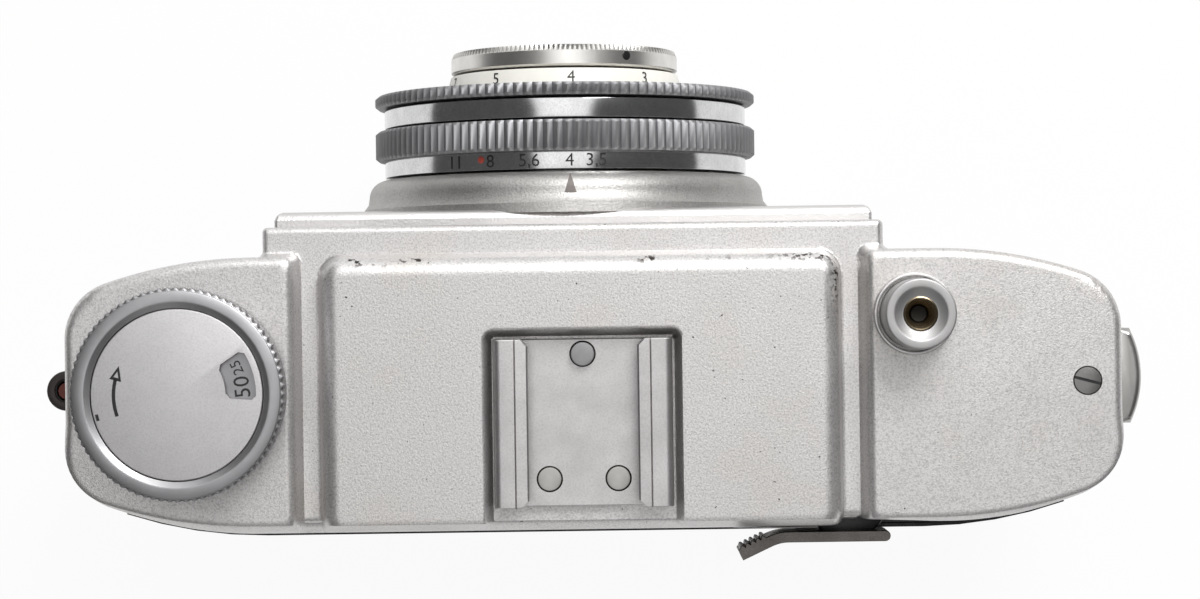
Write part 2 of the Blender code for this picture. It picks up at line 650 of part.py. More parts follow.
def back_door():
    """The covered door that wraps round both ends, with its knuckle, platen and springs."""
    outer = plan_side(DOOR_DEPTH, COVERING, 1)
    inner = plan_side(DOOR_DEPTH, COVERING + DOOR_WALL, 1)
    outline = [(outer[0][0], GAP)] + outer + [(outer[-1][0], GAP), (inner[-1][0], GAP)]
    outline += inner[::-1] + [(inner[0][0], GAP)]
    door = prism("back_door", outline, DOOR_BOTTOM, DOOR_TOP, BLACK_PAINT)
    low = DOOR_BOTTOM + KNUCKLE_LENGTH + GAP
    high = CASTING_TOP - GAP - KNUCKLE_LENGTH - GAP
    web_x = HALF_LENGTH - COVERING - DOOR_WALL / 2
    join(door, box("door_web", (web_x, GAP, low), (HINGE_X, GAP + HINGE_WEB, high)))
    join(door, disc("door_knuckle", KNUCKLE_RADIUS, low, high, HINGE_AXIS, steps=SMALL_STEPS))
    bore = HINGE_PIN_RADIUS + GAP
    cut(door, disc("door_bore", bore, 0, CASTING_TOP, HINGE_AXIS, steps=SMALL_STEPS))
    ride(door, HINGE_AXIS)
    disc("hinge_pin", HINGE_PIN_RADIUS, DOOR_BOTTOM, CASTING_TOP, HINGE_AXIS, COPPER, SMALL_STEPS)

    skin_out = plan_side(DOOR_DEPTH, 0, 1)[ARC_STEPS:-ARC_STEPS]
    skin_in = plan_side(DOOR_DEPTH, COVERING - SNUG, 1)[ARC_STEPS:-ARC_STEPS]
    skin = prism("back_covering", skin_out + skin_in[::-1], DOOR_BOTTOM + GAP, DOOR_TOP - GAP, LEATHERETTE)
    ride(skin, HINGE_AXIS)

    platen_low = FILM_PLANE + GAP
    platen_high = platen_low + PLATEN_THICKNESS
    half_x = PLATEN_WIDTH / 2
    half_z = PLATEN_HEIGHT / 2
    platen = box(
        "pressure_plate",
        (LENS_X - half_x, platen_low, LENS_Z - half_z),
        (LENS_X + half_x, platen_high, LENS_Z + half_z),
        BLACK_PAINT,
    )
    ride(platen, HINGE_AXIS)
    spring_in = platen_high + GAP
    spring_out = DOOR_DEPTH - COVERING - DOOR_WALL - GAP
    for name, side in (("left", 1), ("right", -1)):
        middle = LENS_X + side * SPRING_SPACING / 2
        reach = half_z - GAP
        bow = [(-1, spring_out), (-0.5, spring_in), (0.5, spring_in), (1, spring_out)]
        face = [(share * reach, -y) for share, y in bow]
        back = [(share * reach, SPRING_THICKNESS - y) for share, y in reversed(bow)]
        strip = prism(f"platen_spring_{name}", face + back, -SPRING_WIDTH / 2, SPRING_WIDTH / 2, STEEL)
        upright = Matrix(((0, 0, 1, middle), (0, -1, 0, 0), (1, 0, 0, LENS_Z), (0, 0, 0, 1)))
        strip.data.transform(upright)
        ride(strip, HINGE_AXIS)
    return door


def back_latch():
    """The sprung latch on the -X end and the plate that it slides on."""
    plate_in = -HALF_LENGTH - GAP
    plate_out = plate_in - LATCH_PLATE
    half = LATCH_WIDTH / 2
    low = LATCH_CENTRE_Z - LATCH_HEIGHT / 2
    high = LATCH_CENTRE_Z + LATCH_HEIGHT / 2
    box(
        "latch_plate",
        (plate_out, -half, low - LATCH_PLATE_MARGIN),
        (plate_in, half, high + LATCH_PLATE_MARGIN),
        NICKEL,
    )
    inner = plate_out - GAP
    bulge = LATCH_REACH - LATCH_LIP
    radius = (half**2 + bulge**2) / (2 * bulge)
    spread = math.asin(half / radius)
    centre = inner - LATCH_REACH + radius
    outer = arc(centre, 0, radius, math.pi - spread, math.pi + spread, 2 * ARC_STEPS)
    prism("back_latch", outer + [(inner, -half), (inner, half)], low, high, STEEL)


def leatherette():
    """The front coverings on either side of the front plate."""
    half = LEDGE_WIDTH / 2
    edges = (("left", LEDGE_CENTRE_X + half + GAP, 1), ("right", LEDGE_CENTRE_X - half - GAP, -1))
    for name, edge, side in edges:
        skins = []
        for inset in (0, COVERING - SNUG / 2):
            points = [(x, y) for x, y in plan_side(FRONT_DEPTH, inset, -1) if side * x > side * edge]
            points = points if side > 0 else points[::-1]
            skins.append(points + [(edge, -plan_depth(edge, FRONT_DEPTH, inset))])
        outline = skins[0] + skins[1][::-1]
        prism(f"front_covering_{name}", outline, CASTING_BOTTOM + GAP, CASTING_TOP - GAP, LEATHERETTE)


def housing_room_cutters():
    """The space inside the top housing, the slot for the lever and the finder's openings."""
    low = HOUSING_BOTTOM - PAST
    inner = plan_outline(FRONT_DEPTH, REAR_DEPTH, HOUSING_WALL)
    half_ledge = LEDGE_WIDTH / 2 - HOUSING_WALL
    ledge_back = -FRONT_DEPTH + HOUSING_WALL + PAST
    finder_low = HOUSING_BOTTOM + FINDER_FLOOR
    finder_high = finder_low + FINDER_HEIGHT
    slot_low_x = LEVER_X - LEVER_HUB - LEVER_SWEEP_ROOM
    slot_high_x = LEVER_X + LEVER_HUB + 2 * GAP
    rear = REAR_DEPTH + REAR_FLARE + PAST
    stud_top = LEVER_TOP + LEVER_STUD_HEAD
    return (
        prism("housing_room", inner, low, ROOM_TOP),
        disc("stud_room", LEVER_STUD + GAP, low, stud_top + GAP, LEVER_AXIS, steps=SMALL_STEPS),
        box(
            "ledge_room",
            (LEDGE_CENTRE_X - half_ledge, HOUSING_WALL - LEDGE_FACE, low),
            (LEDGE_CENTRE_X + half_ledge, ledge_back, ROOM_TOP),
        ),
        box(
            "lever_slot",
            (slot_low_x, REAR_DEPTH - PAST, LEVER_BOTTOM - GAP),
            (slot_high_x, rear, LEVER_TOP + GAP),
        ),
        box(
            "finder_front_opening",
            (FINDER_X - FINDER_WIDTH / 2, -LEDGE_FACE - PAST, finder_low),
            (FINDER_X + FINDER_WIDTH / 2, PAST - LEDGE_FACE, finder_high),
        ),
        box(
            "finder_rear_opening",
            (FINDER_X - EYEPIECE_WIDTH / 2, REAR_DEPTH - PAST, finder_low),
            (FINDER_X + EYEPIECE_WIDTH / 2, rear, finder_high),
        ),
    )


def top_housing():
    """One stamping: two decks, a centre hump between grooves, and a lower ledge in front."""
    housing = prism(
        "top_housing", plan_outline(FRONT_DEPTH, REAR_DEPTH, 0), HOUSING_BOTTOM, DECK_TOP, SATIN
    )
    for vertex in housing.data.vertices:
        if vertex.co.y > 0 and vertex.co.z < DECK_TOP - PAST:
            vertex.co.y *= 1 + REAR_FLARE / REAR_DEPTH
    round_edges(housing, lambda co: co.z > DECK_TOP - SNUG, HOUSING_EDGE)
    half_ledge = LEDGE_WIDTH / 2
    ledge = box(
        "ledge",
        (LEDGE_CENTRE_X - half_ledge, -LEDGE_FACE, HOUSING_BOTTOM),
        (LEDGE_CENTRE_X + half_ledge, -FRONT_DEPTH / 2, LEDGE_TOP),
    )
    round_edges(ledge, lambda co: co.z > LEDGE_TOP - SNUG, LEDGE_EDGE, 1)
    half_hump = HUMP_WIDTH / 2
    hump = box(
        "hump",
        (HUMP_CENTRE_X - half_hump, HUMP_INSET - FRONT_DEPTH, LEDGE_TOP - GROOVE_FLOOR / 2),
        (HUMP_CENTRE_X + half_hump, REAR_DEPTH - HUMP_INSET, HUMP_TOP),
    )
    round_edges(hump, lambda co: co.z > HUMP_TOP - SNUG, HUMP_EDGE)
    for name, side in (("left", 1), ("right", -1)):
        near = HUMP_CENTRE_X + side * half_hump
        far = near + side * GROOVE_WIDTH
        groove = box(
            f"groove_{name}",
            (min(near, far), -FRONT_DEPTH - PAST, GROOVE_BOTTOM),
            (max(near, far), REAR_DEPTH + PAST, HUMP_TOP + PAST),
        )
        cut(housing, groove)
    join(housing, ledge, hump)
    half_bed = SHOE_WIDTH / 2 + SHOE_MARGIN
    bed = box(
        "shoe_bed",
        (SHOE_CENTRE_X - half_bed, -SHOE_FRONT - SHOE_MARGIN, SHOE_BED),
        (SHOE_CENTRE_X + half_bed, REAR_DEPTH + PAST, HUMP_TOP + PAST),
    )
    cut(housing, bed, *housing_room_cutters())
    top = DECK_TOP + PAST
    seat_bottom = DECK_TOP - SCREW_HEAD_HEIGHT
    screw_axis = axis_empty("housing_screw_axis", SCREW_END - HALF_LENGTH, 0)
    cut(
        housing,
        disc("knob_hole", KNOB_HUB + GAP, ROOM_TOP - PAST, top, KNOB_AXIS),
        disc("release_hole", RELEASE_RADIUS + GAP, ROOM_TOP - PAST, top, RELEASE_AXIS),
        disc("screw_seat", SCREW_HEAD + SNUG, seat_bottom, top, screw_axis, steps=SMALL_STEPS),
        disc("screw_hole", SCREW_SHANK + GAP, ROOM_TOP - PAST, top, screw_axis, steps=SMALL_STEPS),
    )
    return housing


def housing_screw():
    """The slotted screw that holds the housing's end down to the casting."""
    axis = axis_empty("screw_axis", SCREW_END - HALF_LENGTH, 0, 0, Matrix.Rotation(SCREW_TILT, 4, "Z"))
    seat = DECK_TOP - SCREW_HEAD_HEIGHT + SNUG
    head_top = seat + SCREW_HEAD_HEIGHT
    foot = CASTING_TOP - CASTING_ROOF / 2
    profile = [(0, head_top), (SCREW_HEAD, head_top), (SCREW_HEAD, seat)]
    profile += [(SCREW_SHANK, seat), (SCREW_SHANK, foot), (0, foot)]
    screw = turned("housing_screw", profile, axis, NICKEL, SMALL_STEPS)
    half = SCREW_SLOT / 2
    reach = SCREW_HEAD + GAP
    slot = box("screw_slot", (-reach, -half, head_top - SCREW_SLOT), (reach, half, head_top + PAST))
    cut(screw, centred(slot, axis))


def accessory_shoe():
    """The shoe's C section with its stop pin and two rivets."""
    half = SHOE_WIDTH / 2
    channel = SHOE_CHANNEL / 2
    opening = SHOE_OPENING / 2
    floor = SHOE_FLOOR_TOP
    rail = floor + SHOE_CHANNEL_HEIGHT
    top = rail + SHOE_RAIL
    right = [(half, SHOE_BOTTOM), (half, top), (opening, top)]
    right += [(opening, rail), (channel, rail), (channel, floor)]
    section = right + [(-x, z) for x, z in reversed(right)]
    section = [(SHOE_CENTRE_X + x, z) for x, z in section]
    shoe = prism("accessory_shoe", section, -SHOE_FRONT, SHOE_LENGTH - SHOE_FRONT, NICKEL, along="Y")
    pin = axis_empty("shoe_pin_axis", SHOE_CENTRE_X, SHOE_PIN_SETBACK - SHOE_FRONT)
    low = floor - SHOE_FLOOR / 2
    cut(shoe, disc("shoe_pin_hole", SHOE_PIN_RADIUS + SNUG, low, top + PAST, pin, steps=SMALL_STEPS))
    disc("shoe_stop_pin", SHOE_PIN_RADIUS, low + SNUG, floor + SHOE_PIN_HEIGHT, pin, NICKEL, SMALL_STEPS)
    rivet_y = SHOE_LENGTH - SHOE_FRONT - RIVET_SETBACK
    for name, side in (("left", 1), ("right", -1)):
        axis = axis_empty(f"shoe_rivet_axis_{name}", SHOE_CENTRE_X + side * RIVET_SPACING / 2, rivet_y)
        cut(shoe, disc(f"rivet_hole_{name}", SHOE_PIN_RADIUS + SNUG, low, top, axis, steps=SMALL_STEPS))
        head = floor + RIVET_HEIGHT
        disc(f"shoe_rivet_{name}", SHOE_PIN_RADIUS, low + SNUG, head, axis, NICKEL, SMALL_STEPS)


def finder():
    """The finder's window, its tube and its eyepiece inside the housing."""
    low = HOUSING_BOTTOM + FINDER_FLOOR
    high = low + FINDER_HEIGHT
    half = FINDER_WIDTH / 2
    small = EYEPIECE_WIDTH / 2
    front = HOUSING_WALL - LEDGE_FACE
    rear = REAR_DEPTH - HOUSING_WALL
    window = (FINDER_X - half + SNUG, front - HOUSING_WALL + GAP, low + SNUG)
    box("finder_window", window, (FINDER_X + half - SNUG, front + FINDER_GLASS, high - SNUG), GLASS)
    eyepiece = (FINDER_X - small + SNUG, rear - FINDER_GLASS, low + SNUG)
    eyepiece_back = rear + HOUSING_WALL - GAP
    box("finder_eyepiece", eyepiece, (FINDER_X + small - SNUG, eyepiece_back, high - SNUG), GLASS)
    tube_front = front + FINDER_GLASS + GAP
    tube_rear = rear - FINDER_GLASS - GAP
    tube = box(
        "finder_tube",
        (FINDER_X - half - FINDER_WALL, tube_front, low - FINDER_WALL),
        (FINDER_X + half + FINDER_WALL, tube_rear, high + FINDER_WALL),
        BLACK_PAINT,
    )
    view = box(
        "finder_view",
        (FINDER_X - half, tube_front - PAST, low),
        (FINDER_X + half, tube_rear + PAST, high),
    )
    cut(tube, view)


def rewind():
    """The rewind knob with its dial and index disc, and the keyed shaft with its fork."""
    body_top = KNOB_TOP - KNOB_CHAMFER
    crown = KNOB_FLOOR - KNOB_CROWN
    skirt = KNOB_RADIUS - KNOB_SKIRT
    hub_low = KNOB_BOTTOM - KNOB_HUB_DEPTH
    bore = REWIND_SHAFT + GAP
    bore_top = KNOB_FLOOR - KNOB_CROWN / 2
    recess = DIAL_RADIUS + GAP
    profile = [(0, KNOB_FLOOR), (recess, KNOB_FLOOR), (recess, KNOB_TOP - GAP)]
    profile += [(recess + GAP, KNOB_TOP), (KNOB_RADIUS - KNOB_RIM, KNOB_TOP), (KNOB_RADIUS, body_top)]
    profile += [(KNOB_RADIUS, KNOB_BOTTOM), (skirt, KNOB_BOTTOM), (skirt, crown), (KNOB_HUB, crown)]
    profile += [(KNOB_HUB, hub_low), (bore, hub_low), (bore, bore_top), (0, bore_top)]
    turned("rewind_knob", profile, KNOB_AXIS, SPUN, LENS_STEPS)
    disc("film_index_disc", INDEX_RADIUS, INDEX_BOTTOM, INDEX_TOP, KNOB_AXIS, NICKEL, LENS_STEPS)
    dial = disc("rewind_dial", DIAL_RADIUS, DIAL_BOTTOM, DIAL_TOP, KNOB_AXIS, SPUN, LENS_STEPS)
    start = math.pi - DIAL_WINDOW_FROM
    end = math.pi - DIAL_WINDOW_TO
    sector = arc(0, 0, DIAL_WINDOW_OUTER, end, start) + arc(0, 0, DIAL_WINDOW_INNER, start, end)
    window = prism("dial_window", sector, DIAL_BOTTOM - PAST, DIAL_TOP + PAST)
    cut(dial, centred(window, KNOB_AXIS))
    shaft_low = CHAMBER_TOP - FORK_DEPTH
    shaft = disc("rewind_shaft", REWIND_SHAFT, shaft_low, bore_top - GAP, KNOB_AXIS, STEEL, SMALL_STEPS)
    half = FORK_SLOT / 2
    reach = REWIND_SHAFT + GAP
    slot = box("fork_slot", (-reach, -half, shaft_low - PAST), (reach, half, shaft_low + FORK_DEPTH - GAP))
    cut(shaft, centred(slot, KNOB_AXIS))


def shutter_release():
    """The release button with its brass thread, sliding in a collar on the deck."""
    top = DECK_TOP + RELEASE_HEIGHT
    low = DECK_TOP - RELEASE_SKIRT
    dish = top - RELEASE_DISH_DEPTH
    bore = THREAD_RADIUS + SNUG
    thread_low = dish - THREAD_LENGTH
    profile = [(0, thread_low), (bore, thread_low), (bore, dish), (RELEASE_DISH, top)]
    profile += [(RELEASE_RADIUS - RELEASE_EDGE, top), (RELEASE_RADIUS, top - RELEASE_EDGE)]
    profile += [(RELEASE_RADIUS, low), (RELEASE_STEM, low)]
    profile += [(RELEASE_STEM, low - RELEASE_STEM_LENGTH), (0, low - RELEASE_STEM_LENGTH)]
    turned("release_button", profile, RELEASE_AXIS, SPUN)
    washer("release_thread", THREAD_BORE, THREAD_RADIUS, thread_low + SNUG, dish, RELEASE_AXIS, BRASS)
    inner = RELEASE_RADIUS + GAP
    collar_low = DECK_TOP + SNUG
    collar_ends = (collar_low, collar_low + COLLAR_HEIGHT)
    washer("release_collar", inner, inner + COLLAR_WIDTH, *collar_ends, RELEASE_AXIS, SATIN)


def lever_outline():
    """The lever's plan about its pivot: a round hub, a straight arm and an outward-bent finger tip."""
    inner = LEVER_HUB - LEVER_THICKNESS
    root_x = math.sqrt(LEVER_HUB**2 - inner**2)
    along = (math.cos(LEVER_BEND), math.sin(LEVER_BEND))
    half_bend = LEVER_THICKNESS * math.tan(LEVER_BEND / 2)
    tip = (LEVER_ARM + LEVER_TIP * along[0], LEVER_HUB + LEVER_TIP * along[1])
    tip_inner = (tip[0] + LEVER_THICKNESS * along[1], tip[1] - LEVER_THICKNESS * along[0])
    arm = [(root_x, inner), (LEVER_ARM + half_bend, inner), tip_inner, tip, (LEVER_ARM, LEVER_HUB)]
    start = math.atan2(inner, root_x)
    return arm + arc(0, 0, LEVER_HUB, math.pi / 2, math.tau + start, 4 * ARC_STEPS)[:-1]


def film_advance():
    """The advance lever on its stud, and the sprocket, gear and spool that it winds."""
    lever = prism("advance_lever", lever_outline(), LEVER_BOTTOM, LEVER_TOP, STEEL)
    centred(lever, LEVER_AXIS)
    stud_bore = LEVER_STUD + GAP
    ends = (LEVER_BOTTOM - PAST, LEVER_TOP + PAST)
    cut(lever, disc("stud_bore", stud_bore, *ends, LEVER_AXIS, steps=SMALL_STEPS))
    stud_low = CASTING_TOP - LEVER_STUD_SINK + SNUG
    stud_top = LEVER_TOP + LEVER_STUD_HEAD
    disc("lever_stud", LEVER_STUD, stud_low, stud_top, LEVER_AXIS, STEEL, SMALL_STEPS)

    low = CHAMBER_BOTTOM + GAP
    high = CHAMBER_TOP - GAP
    gear_low = HOUSING_BOTTOM + GAP
    gear_high = gear_low + WIND_GEAR_HEIGHT
    shaft_top = gear_high + GAP
    rim_low = LENS_Z - FILM_WIDTH / 2
    rim_high = LENS_Z + FILM_WIDTH / 2
    profile = [(0, shaft_top), (SHAFT_RADIUS, shaft_top), (SHAFT_RADIUS, high), (SPROCKET_WAIST, high)]
    profile += [(SPROCKET_WAIST, rim_high), (SPROCKET_RADIUS, rim_high)]
    profile += [(SPROCKET_RADIUS, rim_high - SPROCKET_RIM), (SPROCKET_WAIST, rim_high - SPROCKET_RIM)]
    profile += [(SPROCKET_WAIST, rim_low + SPROCKET_RIM), (SPROCKET_RADIUS, rim_low + SPROCKET_RIM)]
    profile += [(SPROCKET_RADIUS, rim_low), (SPROCKET_WAIST, rim_low), (SPROCKET_WAIST, low), (0, low)]
    sprocket = turned("sprocket", profile, SPROCKET_AXIS, STEEL, SMALL_STEPS)
    tip = SPROCKET_RADIUS + SPROCKET_TOOTH
    for name, middle in (("low", rim_low + SPROCKET_RIM / 2), ("high", rim_high - SPROCKET_RIM / 2)):
        teeth = prism(
            f"sprocket_teeth_{name}",
            gear_outline(SPROCKET_TEETH, SPROCKET_WAIST, tip),
            middle - SPROCKET_RIM / 4,
            middle + SPROCKET_RIM / 4,
        )
        join(sprocket, centred(teeth, SPROCKET_AXIS))
    reach = math.hypot(LEVER_X - SPROCKET_X, LEVER_Y - SPROCKET_Y)
    gear_tip = reach - LEVER_HUB - GAP
    outline = gear_outline(WIND_GEAR_TEETH, gear_tip - WIND_GEAR_TOOTH, gear_tip)
    gear = centred(prism("wind_gear", outline, gear_low, gear_high, BRASS), SPROCKET_AXIS)
    cut(gear, disc("gear_bore", SHAFT_RADIUS + SNUG, gear_low - PAST, gear_high + PAST, SPROCKET_AXIS))

    flange_low = low + SPOOL_FLANGE_HEIGHT
    flange_high = high - SPOOL_FLANGE_HEIGHT
    profile = [(0, shaft_top), (SHAFT_RADIUS, shaft_top), (SHAFT_RADIUS, high), (SPOOL_FLANGE, high)]
    profile += [(SPOOL_FLANGE, flange_high), (SPOOL_RADIUS, flange_high), (SPOOL_RADIUS, flange_low)]
    profile += [(SPOOL_FLANGE, flange_low), (SPOOL_FLANGE, low), (0, low)]
    turned("take_up_spool", profile, SPOOL_AXIS, BLACK_PAINT)


def front_plate():
    """The shallow pan in front of the casting that the lens is mounted on."""
    half = LEDGE_WIDTH / 2 - PLATE_SIDE
    low = (LEDGE_CENTRE_X - half, -PLATE_FACE, CASTING_BOTTOM)
    high = (LEDGE_CENTRE_X + half, -FRONT_DEPTH + CASTING_FRONT - GAP, CASTING_TOP)
    plate = box("front_plate", low, high, SATIN)
    round_edges(plate, lambda co: co.y < SNUG - PLATE_FACE, PLATE_EDGE)
    room = box(
        "plate_room",
        (low[0] + PLATE_WALL, low[1] + PLATE_WALL, low[2] + PLATE_WALL),
        (high[0] - PLATE_WALL, high[1] + PAST, high[2] - PLATE_WALL),
    )
    hole = disc("plate_hole", LENS_HOLE, FRONT_DEPTH, PLATE_FACE + PAST, LENS_AXIS, steps=LENS_STEPS)
    cut(plate, room, hole)


def lens_mount():
    """The flange, the shutter housing and the two rings that turn on it."""
    shoulder = FLANGE_RADIUS - FLANGE_TAPER
    start = FLANGE_FRONT - FLANGE_SHOULDER
    curve = arc(shoulder - FLANGE_SHOULDER, start, FLANGE_SHOULDER, math.pi / 2, 0)
    profile = curve + [(FLANGE_RADIUS, FLANGE_BACK), (LENS_HOLE, FLANGE_BACK), (LENS_HOLE, FLANGE_FRONT)]
    turned("lens_flange", profile, LENS_AXIS, SATIN, LENS_STEPS, ring=True)

    front_bore = CELL_RADIUS + GAP
    profile = [(BARREL_RADIUS, BARREL_FRONT), (BARREL_RADIUS, BARREL_BACK), (TUBE_RADIUS, BARREL_BACK)]
    profile += [(TUBE_RADIUS, TUBE_BACK), (REAR_CELL_RADIUS, TUBE_BACK), (REAR_CELL_RADIUS, ROOM_BACK)]
    profile += [(ROOM_RADIUS, ROOM_BACK), (ROOM_RADIUS, ROOM_FRONT), (front_bore, ROOM_FRONT)]
    profile += [(front_bore, BARREL_FRONT)]
    turned("shutter_housing", profile, LENS_AXIS, CHROME, LENS_STEPS, ring=True)

    knurl_in = KNURL_RADIUS - KNURL_CHAMFER
    profile = [(knurl_in, APERTURE_FRONT), (KNURL_RADIUS, APERTURE_FRONT - KNURL_CHAMFER)]
    profile += [(KNURL_RADIUS, APERTURE_STEP + KNURL_CHAMFER), (knurl_in, APERTURE_STEP)]
    profile += [(BARREL_RADIUS, APERTURE_STEP), (BARREL_RADIUS, APERTURE_BACK)]
    profile += [(LENS_HOLE, APERTURE_BACK), (LENS_HOLE, APERTURE_FRONT)]
    turned("aperture_ring", profile, LENS_AXIS, CHROME, LENS_STEPS, ring=True)

    profile = [(SCALE_RADIUS - SCALE_TAPER, SCALE_FRONT), (SCALE_RADIUS, FOCUS_FACE), (knurl_in, FOCUS_FACE)]
    profile += [(KNURL_RADIUS, FOCUS_FACE - KNURL_CHAMFER), (KNURL_RADIUS, FOCUS_BACK + KNURL_CHAMFER)]
    profile += [(knurl_in, FOCUS_BACK), (front_bore, FOCUS_BACK), (front_bore, SCALE_FRONT)]
    turned("focus_ring", profile, LENS_AXIS, SCALE_PAINT, LENS_STEPS, ring=True)


def lens_profile(radius, back, edge, bulge):
    """A glass that bulges on both faces, as a profile from its front vertex to its back one."""
    shares = [i / ARC_STEPS for i in range(ARC_STEPS + 1)]
    front = [(radius * share, back + edge + bulge * (1 - share**2)) for share in shares]
    rear = [(radius * share, back - bulge * (1 - share**2)) for share in reversed(shares)]
    return front + rear


def lens_cells():
    """The sliding front cell and the fixed rear cell, with their glasses."""
    bore = CELL_RADIUS - CELL_WALL
    seat = RING_FRONT - FRONT_LENS_SINK - FRONT_LENS_EDGE
    seat_radius = FRONT_LENS_RADIUS + SNUG
    throat = FRONT_LENS_RADIUS - CELL_LIP
    profile = [(RING_RADIUS, RING_FRONT), (RING_RADIUS, RING_BACK), (CELL_RADIUS, RING_BACK)]
    profile += [(CELL_RADIUS, CELL_BACK), (bore, CELL_BACK), (throat, seat - GAP), (throat, seat)]
    profile += [(seat_radius, seat), (seat_radius, RING_FRONT - FRONT_RING), (bore, RING_FRONT)]
    cell = turned("front_lens_cell", profile, LENS_AXIS, CHROME, LENS_STEPS, ring=True)
    back = seat + SNUG + FRONT_LENS_BULGE * (1 - (throat / FRONT_LENS_RADIUS) ** 2)
    glass = lens_profile(FRONT_LENS_RADIUS, back, FRONT_LENS_EDGE - SNUG, FRONT_LENS_BULGE)
    turned("front_lens", glass, LENS_AXIS, GLASS)
    retainer = back + FRONT_LENS_EDGE
    inner = FRONT_LENS_RADIUS - RETAINER_WIDTH
    rise = retainer + RETAINER_HEIGHT
    profile = [(FRONT_LENS_RADIUS, rise), (FRONT_LENS_RADIUS, retainer)]
    profile += [(inner, retainer + SNUG), (inner, rise)]
    turned("front_lens_retainer", profile, LENS_AXIS, BLACK_PAINT, ring=True)

    screw_turn = FORWARD @ Matrix.Rotation(SET_SCREW_ANGLE, 4, "Z") @ Matrix.Rotation(math.pi / 2, 4, "Y")
    middle = (RING_BACK + RING_FRONT) / 2
    screw_axis = axis_empty("set_screw_axis", LENS_X, -middle, LENS_Z, screw_turn)
    hole_low = RING_RADIUS - SET_SCREW_LENGTH
    hole_ends = (hole_low, RING_RADIUS + PAST)
    hole = disc("set_screw_hole", SET_SCREW_RADIUS + SNUG, *hole_ends, screw_axis, steps=SMALL_STEPS)
    cut(cell, hole)
    disc("set_screw", SET_SCREW_RADIUS, hole_low + SNUG, RING_RADIUS - SNUG, screw_axis, STEEL, SMALL_STEPS)

    outer = REAR_CELL_RADIUS - SNUG
    inner = outer - REAR_CELL_WALL
    glass_radius = inner - SNUG
    cell_front = ROOM_BACK - GAP
    lip = REAR_CELL_WALL / 2
    profile = [(outer, cell_front), (outer, TUBE_BACK)]
    profile += [(inner - lip, TUBE_BACK), (inner - lip, TUBE_BACK + lip)]
    profile += [(inner, TUBE_BACK + lip), (inner, cell_front)]
    turned("rear_lens_cell", profile, LENS_AXIS, BLACK_PAINT, ring=True)
    glass = lens_profile(glass_radius, TUBE_BACK + lip + SNUG, REAR_LENS_EDGE, REAR_LENS_BULGE)
    turned("rear_lens", glass, LENS_AXIS, GLASS)


def blade(name, plane, angle, opening, span, closed):
    """A thin curved blade that swings about its pivot, in a plane of its own across the light path."""
    ear = (BLADE_OUTER - opening) / 2
    middle = opening + ear
    outer = arc(0, 0, BLADE_OUTER, 0, span, 2 * ARC_STEPS)
    inner = arc(0, 0, opening, span, 0, 2 * ARC_STEPS)
    heel = arc(middle, 0, ear, -math.pi, 0)[1:-1]
    outline = [(x - BLADE_PIVOT, y) for x, y in outer + inner + heel]
    low = ROOM_BACK + GAP + plane * BLADE_PITCH
    obj = prism(name, outline, low, low + BLADE_THICKNESS, BLACK_PAINT)
    place = Matrix.Rotation(angle, 4, "Z") @ Matrix.Translation((BLADE_PIVOT, 0, 0))
    pivot = axis_empty(f"{name}_pivot", 0, 0)
    pivot.matrix_world = LENS_AXIS.matrix_world @ place @ Matrix.Rotation(closed, 4, "Z")
    centred(obj, pivot)


def blades():
    """The aperture's blades and, in front of them, the shutter's, closed."""
    for number in range(APERTURE_BLADES):
        angle = math.tau * number / APERTURE_BLADES
        blade(f"aperture_blade_{number + 1}", number, angle, APERTURE_OPENING, APERTURE_SPAN, 0)
    for number in range(SHUTTER_BLADES):
        angle = math.tau * number / SHUTTER_BLADES
        plane = APERTURE_BLADES + number
        blade(f"shutter_blade_{number + 1}", plane, angle, SHUTTER_OPENING, SHUTTER_SPAN, SHUTTER_CLOSED)


bpy.context.view_layer.update()
base_cover()
body_casting()
back_door()
back_latch()
leatherette()
top_housing()
housing_screw()
accessory_shoe()
finder()
rewind()
shutter_release()
film_advance()
front_plate()
lens_mount()
lens_cells()
blades()
bpy.context.view_layer.update()
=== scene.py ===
"""The looks of a 35 mm viewfinder camera: finishes, knurls, scales and rounded pressings."""

import math

import bmesh
import bpy
import numpy as np
from mathutils import Matrix, Vector


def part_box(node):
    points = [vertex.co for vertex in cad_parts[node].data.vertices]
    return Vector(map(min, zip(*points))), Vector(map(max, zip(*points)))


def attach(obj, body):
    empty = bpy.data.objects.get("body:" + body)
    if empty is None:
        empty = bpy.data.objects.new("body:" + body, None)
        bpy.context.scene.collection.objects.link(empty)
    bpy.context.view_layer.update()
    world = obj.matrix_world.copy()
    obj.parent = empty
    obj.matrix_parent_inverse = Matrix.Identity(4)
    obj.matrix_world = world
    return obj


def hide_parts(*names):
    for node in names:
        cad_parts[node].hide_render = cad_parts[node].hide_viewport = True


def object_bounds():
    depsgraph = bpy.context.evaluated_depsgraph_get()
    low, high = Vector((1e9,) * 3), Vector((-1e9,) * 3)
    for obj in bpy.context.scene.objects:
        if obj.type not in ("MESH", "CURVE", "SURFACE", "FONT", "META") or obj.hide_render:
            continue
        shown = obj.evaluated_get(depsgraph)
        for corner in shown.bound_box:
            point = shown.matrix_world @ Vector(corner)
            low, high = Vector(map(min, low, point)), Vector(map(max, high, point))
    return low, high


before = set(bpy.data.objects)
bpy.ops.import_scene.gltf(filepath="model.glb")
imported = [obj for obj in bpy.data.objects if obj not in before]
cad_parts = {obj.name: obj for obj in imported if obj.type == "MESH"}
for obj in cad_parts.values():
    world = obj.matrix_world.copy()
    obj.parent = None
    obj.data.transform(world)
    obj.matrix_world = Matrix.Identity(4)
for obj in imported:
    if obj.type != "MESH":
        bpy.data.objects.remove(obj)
cad_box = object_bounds()
MM = 0.001


# Shader nodes


